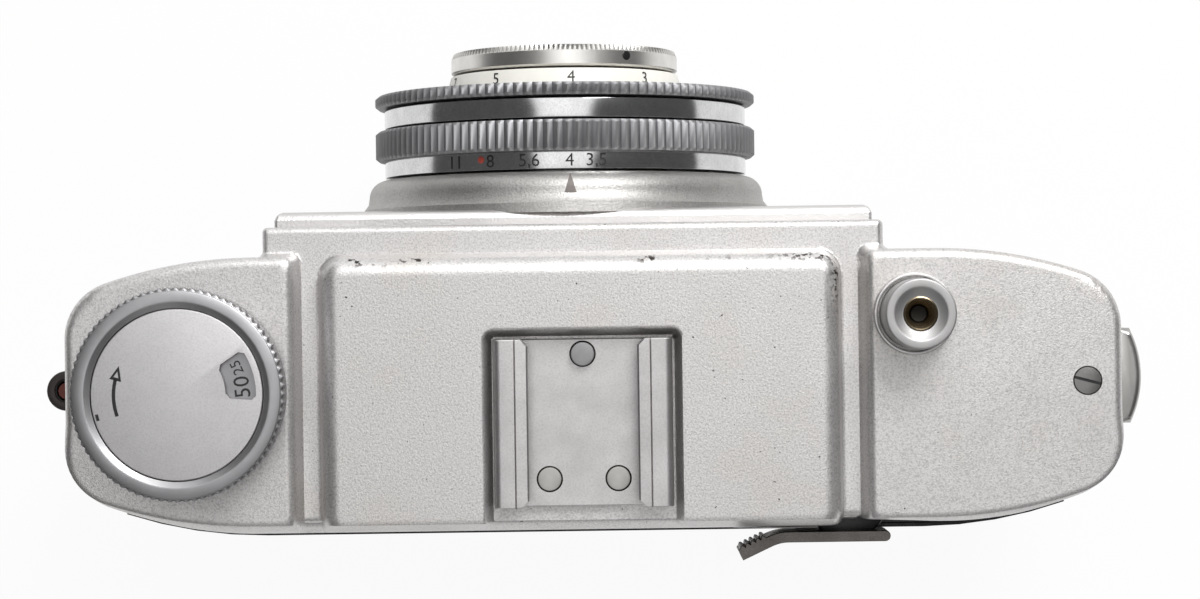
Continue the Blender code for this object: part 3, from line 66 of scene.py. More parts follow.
def new_shader(name, metallic=0.0, **constants):
    """A material, its node tree and its Principled shader, with these sockets set."""
    material = bpy.data.materials.new(name)
    material.use_nodes = True
    shader = material.node_tree.nodes["Principled BSDF"]
    shader.inputs["Metallic"].default_value = metallic
    for socket, value in constants.items():
        shader.inputs[socket.replace("_", " ")].default_value = value
    return material, material.node_tree, shader


def feed(tree, socket, value):
    """Link a socket to another one, or set its value."""
    if isinstance(value, bpy.types.NodeSocket):
        tree.links.new(value, socket)
    else:
        socket.default_value = value


def add_node(tree, kind, inputs=None, **settings):
    """A shader node's outputs, after these settings and with its inputs fed by name or number."""
    node = tree.nodes.new("ShaderNode" + kind)
    for key, value in settings.items():
        setattr(node, key, value)
    for key, value in (inputs or {}).items():
        feed(tree, node.inputs[key], value)
    return node.outputs


def object_coords(tree, scale=(1, 1, 1)):
    coords = add_node(tree, "TexCoord")["Object"]
    return add_node(tree, "Mapping", {"Vector": coords, "Scale": scale})[0]


def radius_coords(tree):
    """The distance from the object's own Z axis, for rings on a spun face."""
    return add_node(tree, "VectorMath", {0: object_coords(tree, (1, 1, 0))}, operation="LENGTH")["Value"]


def noise(tree, vector, size, detail=2.0):
    """Noise with features of this size, in millimetres."""
    return add_node(tree, "TexNoise", {"Vector": vector, "Scale": 1 / (size * MM), "Detail": detail})[0]


def spread(tree, value, low, high, start=0.3, end=0.7):
    """The value's range from start to end, moved to low and high."""
    inputs = {"Value": value, "From Min": start, "From Max": end, "To Min": low, "To Max": high}
    return add_node(tree, "MapRange", inputs)[0]


def tint(tree, value, low, low_colour, high, high_colour):
    """A ramp from one colour at low to another at high."""
    ramp = tree.nodes.new("ShaderNodeValToRGB")
    stops = ((low, low_colour), (high, high_colour))
    for element, (place, colour) in zip(ramp.color_ramp.elements, stops):
        element.position = place
        element.color = (*colour, 1)
    tree.links.new(value, ramp.inputs["Fac"])
    return ramp.outputs["Color"]


def mix_colours(tree, share, first, second):
    """A colour socket mixed with a plain colour by a share."""
    return add_node(tree, "Mix", {"Factor": share, 6: first, 7: (*second, 1)}, data_type="RGBA")[2]


def combine(tree, operation, first, *others):
    """One value after another joined by an operation, kept between 0 and 1."""
    for other in others:
        first = add_node(tree, "Math", {0: first, 1: other}, operation=operation, use_clamp=True)[0]
    return first


def coat(tree, shader, tone, rough, relief=None, depth=0.0):
    """Feed a shader its colour, roughness and any relief, whose depth is in millimetres."""
    feed(tree, shader.inputs["Base Color"], tone)
    feed(tree, shader.inputs["Roughness"], rough)
    if relief is not None:
        bump = add_node(tree, "Bump", {"Height": relief, "Strength": 1.0, "Distance": depth * MM})
        feed(tree, shader.inputs["Normal"], bump[0])


def shade(colour, factor):
    return tuple(part * factor for part in colour)


def add_object(name, data):
    """A new object in the scene."""
    obj = bpy.data.objects.new(name, data)
    bpy.context.scene.collection.objects.link(obj)
    return obj


# Camera, light and floor

IMAGE_WIDTH = 1200
CAMERA_PLACE = (-0.9 * MM, -10.25 * MM, 374 * MM)
CAMERA_FOCUS_PIXELS = 2600
SENSOR_WIDTH = 36.0
CAMERA_ROLL = math.radians(179.2)
CAMERA_CLIP = (0.01, 20)


def add_camera():
    """A camera looking straight down, with the front of the object at the top of the picture."""
    data = bpy.data.cameras.new("top_view")
    data.sensor_width = SENSOR_WIDTH
    data.lens = SENSOR_WIDTH * CAMERA_FOCUS_PIXELS / IMAGE_WIDTH
    data.clip_start, data.clip_end = CAMERA_CLIP
    camera = add_object("top_view", data)
    camera.location = CAMERA_PLACE
    camera.rotation_euler = (0, 0, CAMERA_ROLL)
    bpy.context.scene.camera = camera


KEY_PLACE = Vector((-0.13, -0.28, 0.36))
KEY_AIM = Vector((0, -0.02, 0.06))
KEY_SIZE = 0.2
KEY_WATTS = 1.45


def add_key_light():
    """A round lamp in front of the object, above the release's end."""
    data = bpy.data.lights.new("key", "AREA")
    data.shape = "DISK"
    data.size = KEY_SIZE
    data.energy = KEY_WATTS
    light = add_object("key", data)
    light.location = KEY_PLACE
    light.rotation_euler = (KEY_AIM - KEY_PLACE).to_track_quat("-Z", "Y").to_euler()


# The sky is a bright strip from the front over the top, a little wider in front, with dim sides.
# Polished barrels take their dark and light bands from it.
STRIP_EDGE = (0.25, 0.32)
STRIP_FLARE = 0.15
BACK_EDGE = (0.05, 0.5)
BACK_LEVEL = 0.3
SIDE_LEVEL = 0.1
STRIP_LEVEL = 1.32


def add_world():
    world = bpy.data.worlds.new("studio")
    world.use_nodes = True
    bpy.context.scene.world = world
    tree = world.node_tree
    x, y, _ = add_node(tree, "SeparateXYZ", {0: add_node(tree, "TexCoord")["Generated"]})
    aside = combine(tree, "ABSOLUTE", x, 0.0)
    ahead = combine(tree, "MULTIPLY", y, -STRIP_FLARE)
    strip = spread(tree, combine(tree, "SUBTRACT", aside, ahead), 1.0, 0.0, *STRIP_EDGE)
    fade = spread(tree, y, 1.0, BACK_LEVEL, *BACK_EDGE)
    level = spread(tree, combine(tree, "MULTIPLY", strip, fade), SIDE_LEVEL, STRIP_LEVEL, 0.0, 1.0)
    tree.links.new(level, tree.nodes["Background"].inputs["Color"])


FLOOR_SIZE = 3.0
FLOOR_COLOUR = (0.9, 0.9, 0.9, 1)
FLOOR_ROUGHNESS = 0.9
FLOOR_GLOW = 0.94


def add_floor():
    """A pale floor. It shows as white to the camera and in reflections, and takes a soft shadow."""
    bpy.ops.mesh.primitive_plane_add(size=FLOOR_SIZE, location=(0, 0, cad_box[0][2]))
    floor = bpy.context.object
    floor.name = "floor"
    material, tree, paper = new_shader("floor_paper", Roughness=FLOOR_ROUGHNESS, Base_Color=FLOOR_COLOUR)
    glow = add_node(tree, "Emission", {"Strength": 1.0})[0]
    rays = add_node(tree, "LightPath")
    seen = [rays[name] for name in ("Is Camera Ray", "Is Glossy Ray", "Is Transmission Ray")]
    share = combine(tree, "MULTIPLY", combine(tree, "ADD", *seen), FLOOR_GLOW)
    blend = add_node(tree, "MixShader", {0: share, 1: paper.outputs[0], 2: glow})[0]
    tree.links.new(blend, tree.nodes["Material Output"].inputs["Surface"])
    floor.data.materials.append(material)


bpy.context.scene.view_settings.view_transform = "Standard"
add_camera()
add_world()
add_floor()
add_key_light()


# Finishes. Grain and depth are in millimetres.

SATIN = (0.705, 0.69, 0.683)
CHROME = (0.70, 0.70, 0.705)
VALLEY_DIRT_AND_SHADE = (0.16, 0.155, 0.15)
STAIN = (0.63, 0.575, 0.5)
CHIP = (0.045, 0.038, 0.032)
CLOUD_GROWTH = 25
CLOUD_LEAST = 0.8
SPECKLE_SIZE = 0.24
SPECKLE_RANGE = (0.42, 0.8)
SPECKLE_SHADE = 0.5
PATTERN_SCALES = {"grain": (1, 1, 1), "turned": (0, 0, 1), "brushed": (0.04, 1, 1)}


def finish(
    name, colour, rough, grain, depth, metallic=1.0, pattern="grain", dark=0.86,
    groove=None, speckle=0.0, **constants,
):
    """A surface with fine grain, rings or turning lines, uneven gloss and a slight cloud of tone.

    groove is the colour of painted shade and dirt at the foot of knurls, where a mesh says so in its groove
    attribute.
    speckle is the strength of the darker points in its grain.
    """
    material, tree, shader = new_shader(name, metallic, **constants)
    coords = object_coords(tree)
    vector = radius_coords(tree) if pattern == "rings" else object_coords(tree, PATTERN_SCALES[pattern])
    fine = noise(tree, vector, grain)
    cloud = noise(tree, coords, CLOUD_GROWTH * grain + CLOUD_LEAST, 4.0)
    tone = tint(tree, cloud, 0.32, shade(colour, dark), 0.68, colour)
    if speckle:
        points = spread(tree, noise(tree, coords, SPECKLE_SIZE), 0.0, speckle, *SPECKLE_RANGE)
        tone = mix_colours(tree, points, tone, shade(colour, SPECKLE_SHADE))
    # The foot of the knurl teeth is painted darker: painted shade and dirt in the valleys.
    if groove:
        share = add_node(tree, "Attribute", attribute_name="groove")["Fac"]
        tone = mix_colours(tree, share, tone, groove)
    coat(tree, shader, tone, spread(tree, fine, *rough), fine, depth)
    return material


# Where the centre plate's edges have worn, in millimetres: full wear first, then none.
WORN_FRONT = (-14.9, -14.1)
WORN_HALF_LENGTH = (31.5, 32.5)
WORN_CORNER = (-25, -19)
WORN_SIDE = (-28.35, -27.55)
WORN_SIDE_END = (29.2, 29.6)
WORN_SIDE_LENGTH = (-12, -7)
WORN_HEIGHT = (69.6, 69.0)


def housing_finish():
    """Bead-blasted chrome with dark chips where the edges of the centre plate have worn through."""
    material, tree, shader = new_shader("housing_satin", 0.8)
    coords = object_coords(tree)
    cloud = noise(tree, coords, 7, 4.0)
    tone = tint(tree, cloud, 0.3, shade(SATIN, 0.94), 0.7, SATIN)
    stain = noise(tree, coords, 11, 3.0)
    tone = mix_colours(tree, spread(tree, stain, 0.0, 0.3, 0.5, 0.72), tone, STAIN)
    speckle = noise(tree, coords, SPECKLE_SIZE)
    tone = mix_colours(tree, spread(tree, speckle, 0.0, 0.9, *SPECKLE_RANGE), tone, shade(SATIN, 0.55))
    x, y, z = add_node(tree, "SeparateXYZ", {0: coords})
    beside = combine(tree, "ABSOLUTE", x, 0.0)

    def worn(value, full, none):
        return spread(tree, value, 1, 0, full * MM, none * MM)

    def flakes(size, detail, start, end):
        return spread(tree, noise(tree, coords, size, detail), 0, 1, start, end)

    top = worn(z, *WORN_HEIGHT)
    front = combine(tree, "MULTIPLY", worn(y, *WORN_FRONT), top, worn(beside, *WORN_HALF_LENGTH))
    side = combine(tree, "MULTIPLY", worn(x, *WORN_SIDE), top, worn(y, *WORN_SIDE_LENGTH))
    side = combine(tree, "MULTIPLY", side, worn(beside, *WORN_SIDE_END))
    corner = combine(tree, "MULTIPLY", front, worn(x, *WORN_CORNER))
    chips = combine(tree, "MULTIPLY", front, flakes(0.9, 3.0, 0.58, 0.61), flakes(8, 1.0, 0.54, 0.62))
    crumbs = combine(tree, "MULTIPLY", combine(tree, "MAXIMUM", side, corner), flakes(0.55, 3.0, 0.525, 0.56))
    chips = combine(tree, "MAXIMUM", chips, crumbs, flakes(0.5, 2.0, 0.745, 0.765))
    tone = mix_colours(tree, chips, tone, CHIP)
    coat(tree, shader, tone, spread(tree, cloud, 0.36, 0.46), noise(tree, coords, 0.17), 0.03)
    return material


PEBBLE = 0.9


def leatherette_finish():
    """Black grained covering: rounded pebbles with fine creases between them, the creases painted darker as
    painted shade.
    """
    material, tree, shader = new_shader("black_leatherette")
    coords = object_coords(tree)
    inputs = {"Vector": coords, "Scale": 1 / (PEBBLE * MM)}
    cells = add_node(tree, "TexVoronoi", inputs, feature="SMOOTH_F1")["Distance"]
    wobble = noise(tree, coords, 1.4, 3.0)
    height = combine(tree, "SUBTRACT", spread(tree, wobble, 0.6, 1.0), cells)
    # The creases are painted darker than the pebble tops: painted shade.
    tone = tint(tree, height, 0.1, (0.006, 0.006, 0.006), 0.8, (0.022, 0.021, 0.021))
    coat(tree, shader, tone, spread(tree, wobble, 0.42, 0.6), height, 0.16)
    return material


def glass_finish(name, colour):
    """Clear glass with a little dust."""
    material, tree, shader = new_shader(name, Transmission_Weight=1.0, IOR=1.52)
    dust = noise(tree, object_coords(tree), 0.6, 4.0)
    tone = tint(tree, dust, 0.3, colour, 0.7, shade(colour, 1.04))
    coat(tree, shader, tone, spread(tree, dust, 0.0, 0.03))
    return material


M_HOUSING = housing_finish()
M_SATIN = finish("satin_chrome", SATIN, (0.36, 0.46), 0.16, 0.02)
M_BASE = finish("base_satin", SATIN, (0.36, 0.46), 0.3, 0.04, dark=0.9)
M_TURNED = finish("turned_chrome", CHROME, (0.1, 0.18), 0.05, 0.0012, pattern="turned", speckle=0.35)
# The groove colours paint shade and dirt into the knurls' valleys.
M_KNURL = finish("knurled_chrome", (0.41, 0.41, 0.418), (0.5, 0.62), 0.08, 0.004, groove=(0.22, 0.22, 0.23))
M_RING = finish("ring_satin", (0.78, 0.765, 0.735), (0.28, 0.38), 0.08, 0.004, groove=(0.4, 0.39, 0.37))
M_KNOB = finish("knob_chrome", (0.44, 0.435, 0.445), (0.4, 0.52), 0.1, 0.006, groove=VALLEY_DIRT_AND_SHADE)
M_FLANGE = finish("flange_satin", (0.5, 0.49, 0.475), (0.44, 0.58), 0.22, 0.04, dark=0.84, speckle=0.6)
M_BUTTON = finish("button_satin", (0.49, 0.485, 0.482), (0.5, 0.6), 0.1, 0.006, dark=0.9)
M_SPUN = finish(
    "spun_aluminium", (0.69, 0.675, 0.68), (0.44, 0.56), 0.1, 0.012, pattern="rings", dark=0.95, speckle=0.3
)
M_NICKEL = finish("brushed_nickel", (0.66, 0.645, 0.615), (0.24, 0.36), 0.1, 0.005, pattern="brushed")
M_SHOE = finish("shoe_nickel", (0.635, 0.62, 0.615), (0.36, 0.48), 0.12, 0.008, speckle=0.35)
M_PLATE = finish("index_plate_metal", (0.3, 0.295, 0.305), (0.3, 0.42), 0.08, 0.005, pattern="rings")
M_STEEL = finish("plain_steel", (0.50, 0.49, 0.475), (0.22, 0.36), 0.1, 0.006, dark=0.75)
M_PIN = finish("pin_steel", (0.37, 0.365, 0.37), (0.34, 0.46), 0.1, 0.01, dark=0.75)
M_RIVET = finish("rivet_steel", (0.52, 0.51, 0.49), (0.28, 0.42), 0.1, 0.01, pattern="rings", dark=0.7)
M_SCREW = finish("darkened_steel", (0.26, 0.255, 0.25), (0.28, 0.42), 0.1, 0.01, dark=0.6)
M_LEVER = finish("lever_steel", (0.14, 0.128, 0.12), (0.24, 0.4), 0.12, 0.012, dark=0.7)
M_LATCH = finish("latch_steel", (0.56, 0.55, 0.53), (0.3, 0.42), 0.15, 0.01, dark=0.8)
M_GUN = finish("blackened_steel", (0.05, 0.05, 0.052), (0.3, 0.45), 0.1, 0.006, 0.8, dark=0.7)
M_BRASS = finish("turned_brass", (0.25, 0.2, 0.135), (0.22, 0.36), 0.06, 0.004, pattern="rings", dark=0.8)
M_COPPER = finish("dull_copper", (0.13, 0.05, 0.042), (0.35, 0.5), 0.1, 0.008, dark=0.6)
M_HINGE = finish("hinge_brown", (0.05, 0.04, 0.038), (0.35, 0.5), 0.15, 0.015, 0.4, dark=0.6)
M_CASTING = finish("dark_casting", (0.035, 0.034, 0.033), (0.45, 0.6), 0.3, 0.03, 0.3, dark=0.7)
M_BLACK = finish("black_enamel", (0.018, 0.018, 0.018), (0.30, 0.45), 0.2, 0.012, 0.0, dark=0.7)
M_FACE = finish(
    "face_enamel", (0.022, 0.021, 0.021), (0.34, 0.5), 0.05, 0.006, 0.0, pattern="rings", dark=0.7
)
M_DOOR = finish("door_enamel", (0.03, 0.028, 0.027), (0.4, 0.55), 0.25, 0.02, 0.0, dark=0.6)
M_CREAM = finish("cream_scale", (0.88, 0.865, 0.8), (0.32, 0.42), 0.12, 0.004, 0.0, dark=0.94)
M_INK = finish("engraved_black", (0.012, 0.012, 0.012), (0.45, 0.6), 0.1, 0.004, 0.0, dark=0.7)
M_RED_INK = finish("engraved_red", (0.33, 0.05, 0.035), (0.45, 0.6), 0.1, 0.004, 0.0, dark=0.75)
M_INDEX = finish("index_grey", (0.19, 0.165, 0.15), (0.4, 0.55), 0.1, 0.005, 0.0, dark=0.7)
# Near-black with little sheen: painted shade and dirt round the heads' feet and down the release's bore.
M_DIRT_AND_SHADE = finish(
    "crevice_dirt_and_shade", (0.03, 0.026, 0.022), (0.6, 0.75), 0.1, 0.01, 0.0, dark=0.6, Specular_IOR_Level=0.15
)
M_LEATHER = leatherette_finish()
M_LENS = glass_finish("coated_glass", (0.82, 0.84, 0.97))
M_WINDOW = glass_finish("finder_glass", (0.95, 0.97, 0.96))


# Mesh helpers

SHARP_ANGLE = math.radians(32)
WELD = 1e-7


def box_mm(node):
    """The low and high corners of a node's box, in millimetres."""
    return [Vector(corner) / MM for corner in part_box(node)]


def strips(rings, size, closed=False):
    """Faces between each ring of points and the next, and back to the first if closed."""
    faces = []
    for ring in range(rings if closed else rings - 1):
        here, there = ring * size, (ring + 1) % rings * size
        for i in range(size):
            j = (i + 1) % size
            faces.append((here + i, here + j, there + j, there + i))
    return faces


def caps(rings, size):
    """The faces that close the first and the last ring."""
    return [tuple(range(size)), tuple(range((rings - 1) * size, rings * size))]


def add_mesh(
    name, points, faces, material, body, *nodes, slot=None, place=None, sharp=SHARP_ANGLE, groove=None
):
    """A piece with points in millimetres, riding on a body, that stands for these CAD nodes.

    place is its own frame, if it has one.
    """
    mesh = bpy.data.meshes.new(name)
    mesh.from_pydata([[value * MM for value in point] for point in points], [], faces)
    if groove is not None:
        mesh.attributes.new("groove", "FLOAT", "POINT").data.foreach_set("value", groove)
    work = bmesh.new()
    work.from_mesh(mesh)
    bmesh.ops.remove_doubles(work, verts=work.verts, dist=WELD)
    bmesh.ops.recalc_face_normals(work, faces=work.faces)
    work.to_mesh(mesh)
    work.free()
    mesh.polygons.foreach_set("use_smooth", [True] * len(mesh.polygons))
    mesh.set_sharp_from_angle(angle=sharp)
    obj = add_object(name, mesh)
    if place is not None:
        obj.matrix_world = place
    mesh.materials.append(material)
    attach(obj, body)
    if nodes:
        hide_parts(*nodes)
    return obj


def settled_mesh(obj):
    """A mesh of the object as it is with its modifiers."""
    return bpy.data.meshes.new_from_object(obj.evaluated_get(bpy.context.evaluated_depsgraph_get()))


def polygon_distance(x, y, outline):
    """Signed distance from each point to a closed outline, negative inside."""
    near = np.full(x.shape, np.inf)
    inside = np.zeros(x.shape, bool)
    for (ax, ay), (bx, by) in zip(outline, outline[1:] + outline[:1]):
        ex, ey = bx - ax, by - ay
        share = np.clip(((x - ax) * ex + (y - ay) * ey) / (ex * ex + ey * ey), 0, 1)
        near = np.minimum(near, np.hypot(x - ax - share * ex, y - ay - share * ey))
        if ey != 0:
            crosses = (ay > y) != (by > y)
            inside ^= crosses & (x < ax + (y - ay) * ex / ey)
    return np.where(inside, -near, near)


def box_distance(x, y, low, high, radius):
    """Signed distance to an upright rectangle with round corners."""
    middle = [(a + b) / 2 for a, b in zip(low, high)]
    half = [(b - a) / 2 - radius for a, b in zip(low, high)]
    qx = np.abs(x - middle[0]) - half[0]
    qy = np.abs(y - middle[1]) - half[1]
    return np.hypot(np.maximum(qx, 0), np.maximum(qy, 0)) + np.minimum(np.maximum(qx, qy), 0) - radius


def soft_max(a, b, width):
    share = np.clip(0.5 + 0.5 * (a - b) / width, 0, 1)
    return b * (1 - share) + a * share + width * share * (1 - share)


def soft_min(a, b, width):
    return -soft_max(-a, -b, width)


WALL_SLOPE = 5.5


def plateau(distance, top, radius):
    """The height of a pressed plate: flat inside its edge, rounded over, then falling steeply."""
    depth = -distance
    arc_part = np.clip(radius - depth, 0, radius)
    rounded = top - radius + np.sqrt(radius**2 - arc_part**2)
    return np.where(depth < 0, top - radius + depth * WALL_SLOPE, rounded)


def arc_points(centre, radius, start, end, steps):
    angles = np.linspace(start, end, steps + 1)
    return [(centre[0] + radius * math.cos(a), centre[1] + radius * math.sin(a)) for a in angles]


# Top housing: one pressing, as a height over the plan with a skirt below its outline. Millimetres.

HOUSING_LOW, HOUSING_HIGH = box_mm("top_housing")
HALF_LENGTH = HOUSING_HIGH.x
HALF_DEPTH = 15.75
SHOULDER_RUN = 22.0
SHOULDER_RADIUS = 54.0
END_RADIUS = 7.0
DECK_TOP = 70.0
GROOVE_BOTTOM = 66.5
LEFT_GROOVE = (32.0, 35.0)
RIGHT_GROOVE = (-32.0, -29.0)
DECK_EDGE = 1.1
HUMP_EDGE = 2.2
HUMP_CORNER = 2.7
REAR_EDGE = 0.55
LEDGE_X = (-34.5, 39.0)
LEDGE_EDGE = 0.7
LEDGE_CORNER = 0.6
FILLET = 0.5
GROOVE_BLEND = 1.2
REAR_BLEND = (4, 6)
HUMP_SETBACK = 0.2
SHOE_RECESS_X = (-9.6, 12.1)
SHOE_RECESS_FRONT = -6.1
SHOE_BED = 66.8
RECESS_CORNER = 0.5
RECESS_REACH = 3
RECESS_BLEND = 2.0
REAR_FLARE = 2.1
SIDE_FLARE = 0.9
FLARE_END = -31.0
FLARE_RETURN = 0.06
FLARE_STEEP = (-22.0, -14.0)
FLARE_FOOT = 63.7
STEEP_SHARE = 0.66
FLARE_CURVE = 0.6
RECESS_SLOPE = 7.0
WALL_THICKNESS = 0.8
WALL_SHARP = math.radians(50)
SKIRT_LEVELS = (67.5, 66.0, 64.8, 63.7, 61.5, 59.2, 58.1, HOUSING_LOW.z)
FINDER_WINDOW = ((12.5, 27.5), (58.1, 63.7))
EYEPIECE = ((16.0, 24.0), (58.1, 63.7))
LEVER_SLOT = ((-38.75, -24.5), (59.2, 64.8))
FINE = 0.2
COARSE = 0.8
FINE_X = ((-62.2, -46), (-34, -25), (-11.6, -8.8), (11.4, 14.2), (28, 36.5), (38, 40), (46, 62.4))
FINE_Y = ((-19.6, -12), (-8.0, -5.4), (9.5, 16.2))
GRID_END_X = 62.2
ARC_STEPS = 24


def plan_outline():
    """The body's plan seen from above, with round ends and long shallow shoulders."""
    shoulder_x = HALF_LENGTH - SHOULDER_RUN
    corner_x = HALF_LENGTH - END_RADIUS
    rise = math.sqrt((SHOULDER_RADIUS - END_RADIUS) ** 2 - (corner_x - shoulder_x) ** 2)
    middle = HALF_DEPTH - SHOULDER_RADIUS
    turn = math.atan2(rise, corner_x - shoulder_x)
    quarter = arc_points((corner_x, middle + rise), END_RADIUS, 0, turn, ARC_STEPS)
    quarter += arc_points((shoulder_x, middle), SHOULDER_RADIUS, turn, math.pi / 2, ARC_STEPS)[1:]
    half = quarter + [(-x, y) for x, y in reversed(quarter)]
    return half + [(x, -y) for x, y in reversed(half)]


def uneven_lines(low, high, fine_zones):
    """Grid lines from low to high, close together inside the zones."""
    lines = [low]
    while lines[-1] < high:
        here = lines[-1] + 1e-6
        fine = any(start <= here < end for start, end in fine_zones)
        starts = [start for start, _ in fine_zones if start > here]
        step = FINE if fine else min([COARSE] + [start - lines[-1] for start in starts])
        lines.append(round(lines[-1] + step, 4))
    return np.array(lines)


PLAN = plan_outline()


def outline_distance(x, y):
    ledge = box_distance(x, y, (LEDGE_X[0], HOUSING_LOW.y), (LEDGE_X[1], 0), LEDGE_CORNER)
    return np.minimum(polygon_distance(x, y, PLAN), ledge)


def housing_height(x, y):
    """The top surface: groove and ledge level, two decks, the centre hump and the shoe's recess."""
    plan = polygon_distance(x, y, PLAN)
    height = plateau(outline_distance(x, y), GROOVE_BOTTOM, LEDGE_EDGE)
    deck = plan - REAR_EDGE * np.clip((y - REAR_BLEND[0]) / REAR_BLEND[1], 0, 1)
    left = soft_max(deck, LEFT_GROOVE[1] - x, GROOVE_BLEND)
    right = soft_max(deck, x - RIGHT_GROOVE[0], GROOVE_BLEND)
    hump_low = (RIGHT_GROOVE[1], HUMP_SETBACK - HALF_DEPTH)
    hump_high = (LEFT_GROOVE[0], HALF_DEPTH + HUMP_EDGE - REAR_EDGE)
    hump = box_distance(x, y, hump_low, hump_high, HUMP_CORNER)
    plates = ((left, DECK_TOP, DECK_EDGE), (right, DECK_TOP, DECK_EDGE), (hump, HOUSING_HIGH.z, HUMP_EDGE))
    for distance, top, edge in plates:
        height = soft_max(height, plateau(distance, top, edge), FILLET)
    recess_low = (SHOE_RECESS_X[0], SHOE_RECESS_FRONT)
    recess_high = (SHOE_RECESS_X[1], HALF_DEPTH + 5)
    recess = box_distance(x, y, recess_low, recess_high, RECESS_CORNER)
    cut = SHOE_BED + np.maximum(recess, 0) * RECESS_SLOPE
    return np.where(recess < RECESS_REACH, soft_min(height, cut, RECESS_BLEND), height)


def in_opening(x, y, z):
    """Whether a point of the wall lies in the finder's openings or the lever's slot."""

    def within(opening):
        return all(low < value < high for (low, high), value in zip(opening, (x, z)))

    if y < HOUSING_LOW.y + 1:
        return within(FINDER_WINDOW)
    return y > HALF_DEPTH - 2 and (within(EYEPIECE) or within(LEVER_SLOT))


def skirt_point(x, y, z, top):
    """A point of the wall. The rear wall bulges outwards below its edge, less so beyond the lever."""
    beyond = max(0.0, FLARE_END - x)
    side = min(REAR_FLARE, SIDE_FLARE + beyond * FLARE_RETURN) if beyond else REAR_FLARE
    z = min(z, top - 0.05)
    steep = max(0.0, min(1.0, (x - FLARE_STEEP[0]) / (FLARE_STEEP[1] - FLARE_STEEP[0])))
    foot = HOUSING_LOW.z + steep * (FLARE_FOOT - HOUSING_LOW.z)
    fall = min(1.0, (top - z) / (top - foot))
    side *= 1 - steep * (1 - STEEP_SHARE)
    lean = side * fall**FLARE_CURVE * max(0.0, min(1.0, y / HALF_DEPTH)) ** 2
    return (x, y + lean, z)


def top_housing():
    """The pressing: a grid cut along its outline, with walls below and openings in them."""
    xs = uneven_lines(-GRID_END_X, GRID_END_X, FINE_X)
    ys = uneven_lines(FINE_Y[0][0], FINE_Y[-1][1], FINE_Y)
    grid_x, grid_y = np.meshgrid(xs, ys, indexing="ij")
    distance = outline_distance(grid_x, grid_y)
    distance[np.abs(distance) < 0.1 * FINE] = -1e-9
    plan_points, faces, index = [], [], {}

    def vertex(key, x, y):
        if key not in index:
            index[key] = len(plan_points)
            plan_points.append((x, y))
        return index[key]

    rim = []
    for i in range(len(xs) - 1):
        for j in range(len(ys) - 1):
            corners = [(i, j), (i + 1, j), (i + 1, j + 1), (i, j + 1)]
            if min(distance[c] for c in corners) > 0:
                continue
            loop, ends = [], []
            for here, there in zip(corners, corners[1:] + corners[:1]):
                d0, d1 = distance[here], distance[there]
                if d0 <= 0:
                    loop.append(vertex(here, xs[here[0]], ys[here[1]]))
                if (d0 <= 0) != (d1 <= 0):
                    share = d0 / (d0 - d1)
                    x = xs[here[0]] + share * (xs[there[0]] - xs[here[0]])
                    y = ys[here[1]] + share * (ys[there[1]] - ys[here[1]])
                    loop.append(vertex((*min(here, there), *max(here, there)), x, y))
                    ends.append(loop[-1])
            faces.append(loop)
            if len(ends) == 2:
                rim.append(ends)

    plan_x, plan_y = np.array(plan_points).T
    points = list(zip(plan_x, plan_y, housing_height(plan_x, plan_y)))
    skirt = {}
    for pair in rim:
        columns = []
        for start in pair:
            if start not in skirt:
                x, y, top = points[start]
                skirt[start] = [start] + list(range(len(points), len(points) + len(SKIRT_LEVELS)))
                points.extend(skirt_point(x, y, level, top) for level in SKIRT_LEVELS)
            columns.append(skirt[start])
        for row in range(len(SKIRT_LEVELS)):
            quad = [columns[0][row], columns[1][row], columns[1][row + 1], columns[0][row + 1]]
            middle = np.mean([points[corner] for corner in quad], axis=0)
            if not in_opening(*middle):
                faces.append(quad)
    shell = add_mesh(
        "housing_shell", points, faces, M_HOUSING, "root", "top_housing",
        slot="satin_chrome", sharp=WALL_SHARP,
    )
    wall = shell.modifiers.new("wall", "SOLIDIFY")
    wall.thickness = WALL_THICKNESS * MM
    wall.offset = -1


top_housing()


# Turned pieces. Profiles are in millimetres: a radius, a place along the axis and any knurl's depth.

LENS_LOW, LENS_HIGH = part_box("aperture_ring")
LENS_X = (LENS_LOW.x + LENS_HIGH.x) / 2
LENS_Z = (LENS_LOW.z + LENS_HIGH.z) / 2
LENS_PLACE = Matrix(((1, 0, 0, LENS_X), (0, 0, -1, 0), (0, 1, 0, LENS_Z), (0, 0, 0, 1)))
ROUND_STEPS = 160
TOOTH = (0.0, 0.5, 1.0, 0.5)


def upright(x, y):
    """A frame whose Z axis stands on this place, in millimetres."""
    return Matrix.Translation((x * MM, y * MM, 0))


CORNER_STEPS = 3
CORNER_SHARE = 0.45


def rounded(profile, radius):
    """The closed profile with its corners rounded. A corner with a knurl depth stays as it is."""
    result = []
    for before, here, after in zip(profile[-1:] + profile[:-1], profile, profile[1:] + profile[:1]):
        corner = Vector(here[:2])
        to_before = Vector(before[:2]) - corner
        to_after = Vector(after[:2]) - corner
        if len(here) > 2 or corner.x == 0:
            result.append(here)
            continue
        reach = min(radius, CORNER_SHARE * to_before.length, CORNER_SHARE * to_after.length)
        start = corner + to_before.normalized() * reach
        end = corner + to_after.normalized() * reach
        for i in range(CORNER_STEPS + 1):
            t = i / CORNER_STEPS
            result.append(tuple(start * (1 - t) ** 2 + corner * 2 * t * (1 - t) + end * t**2))
    return result


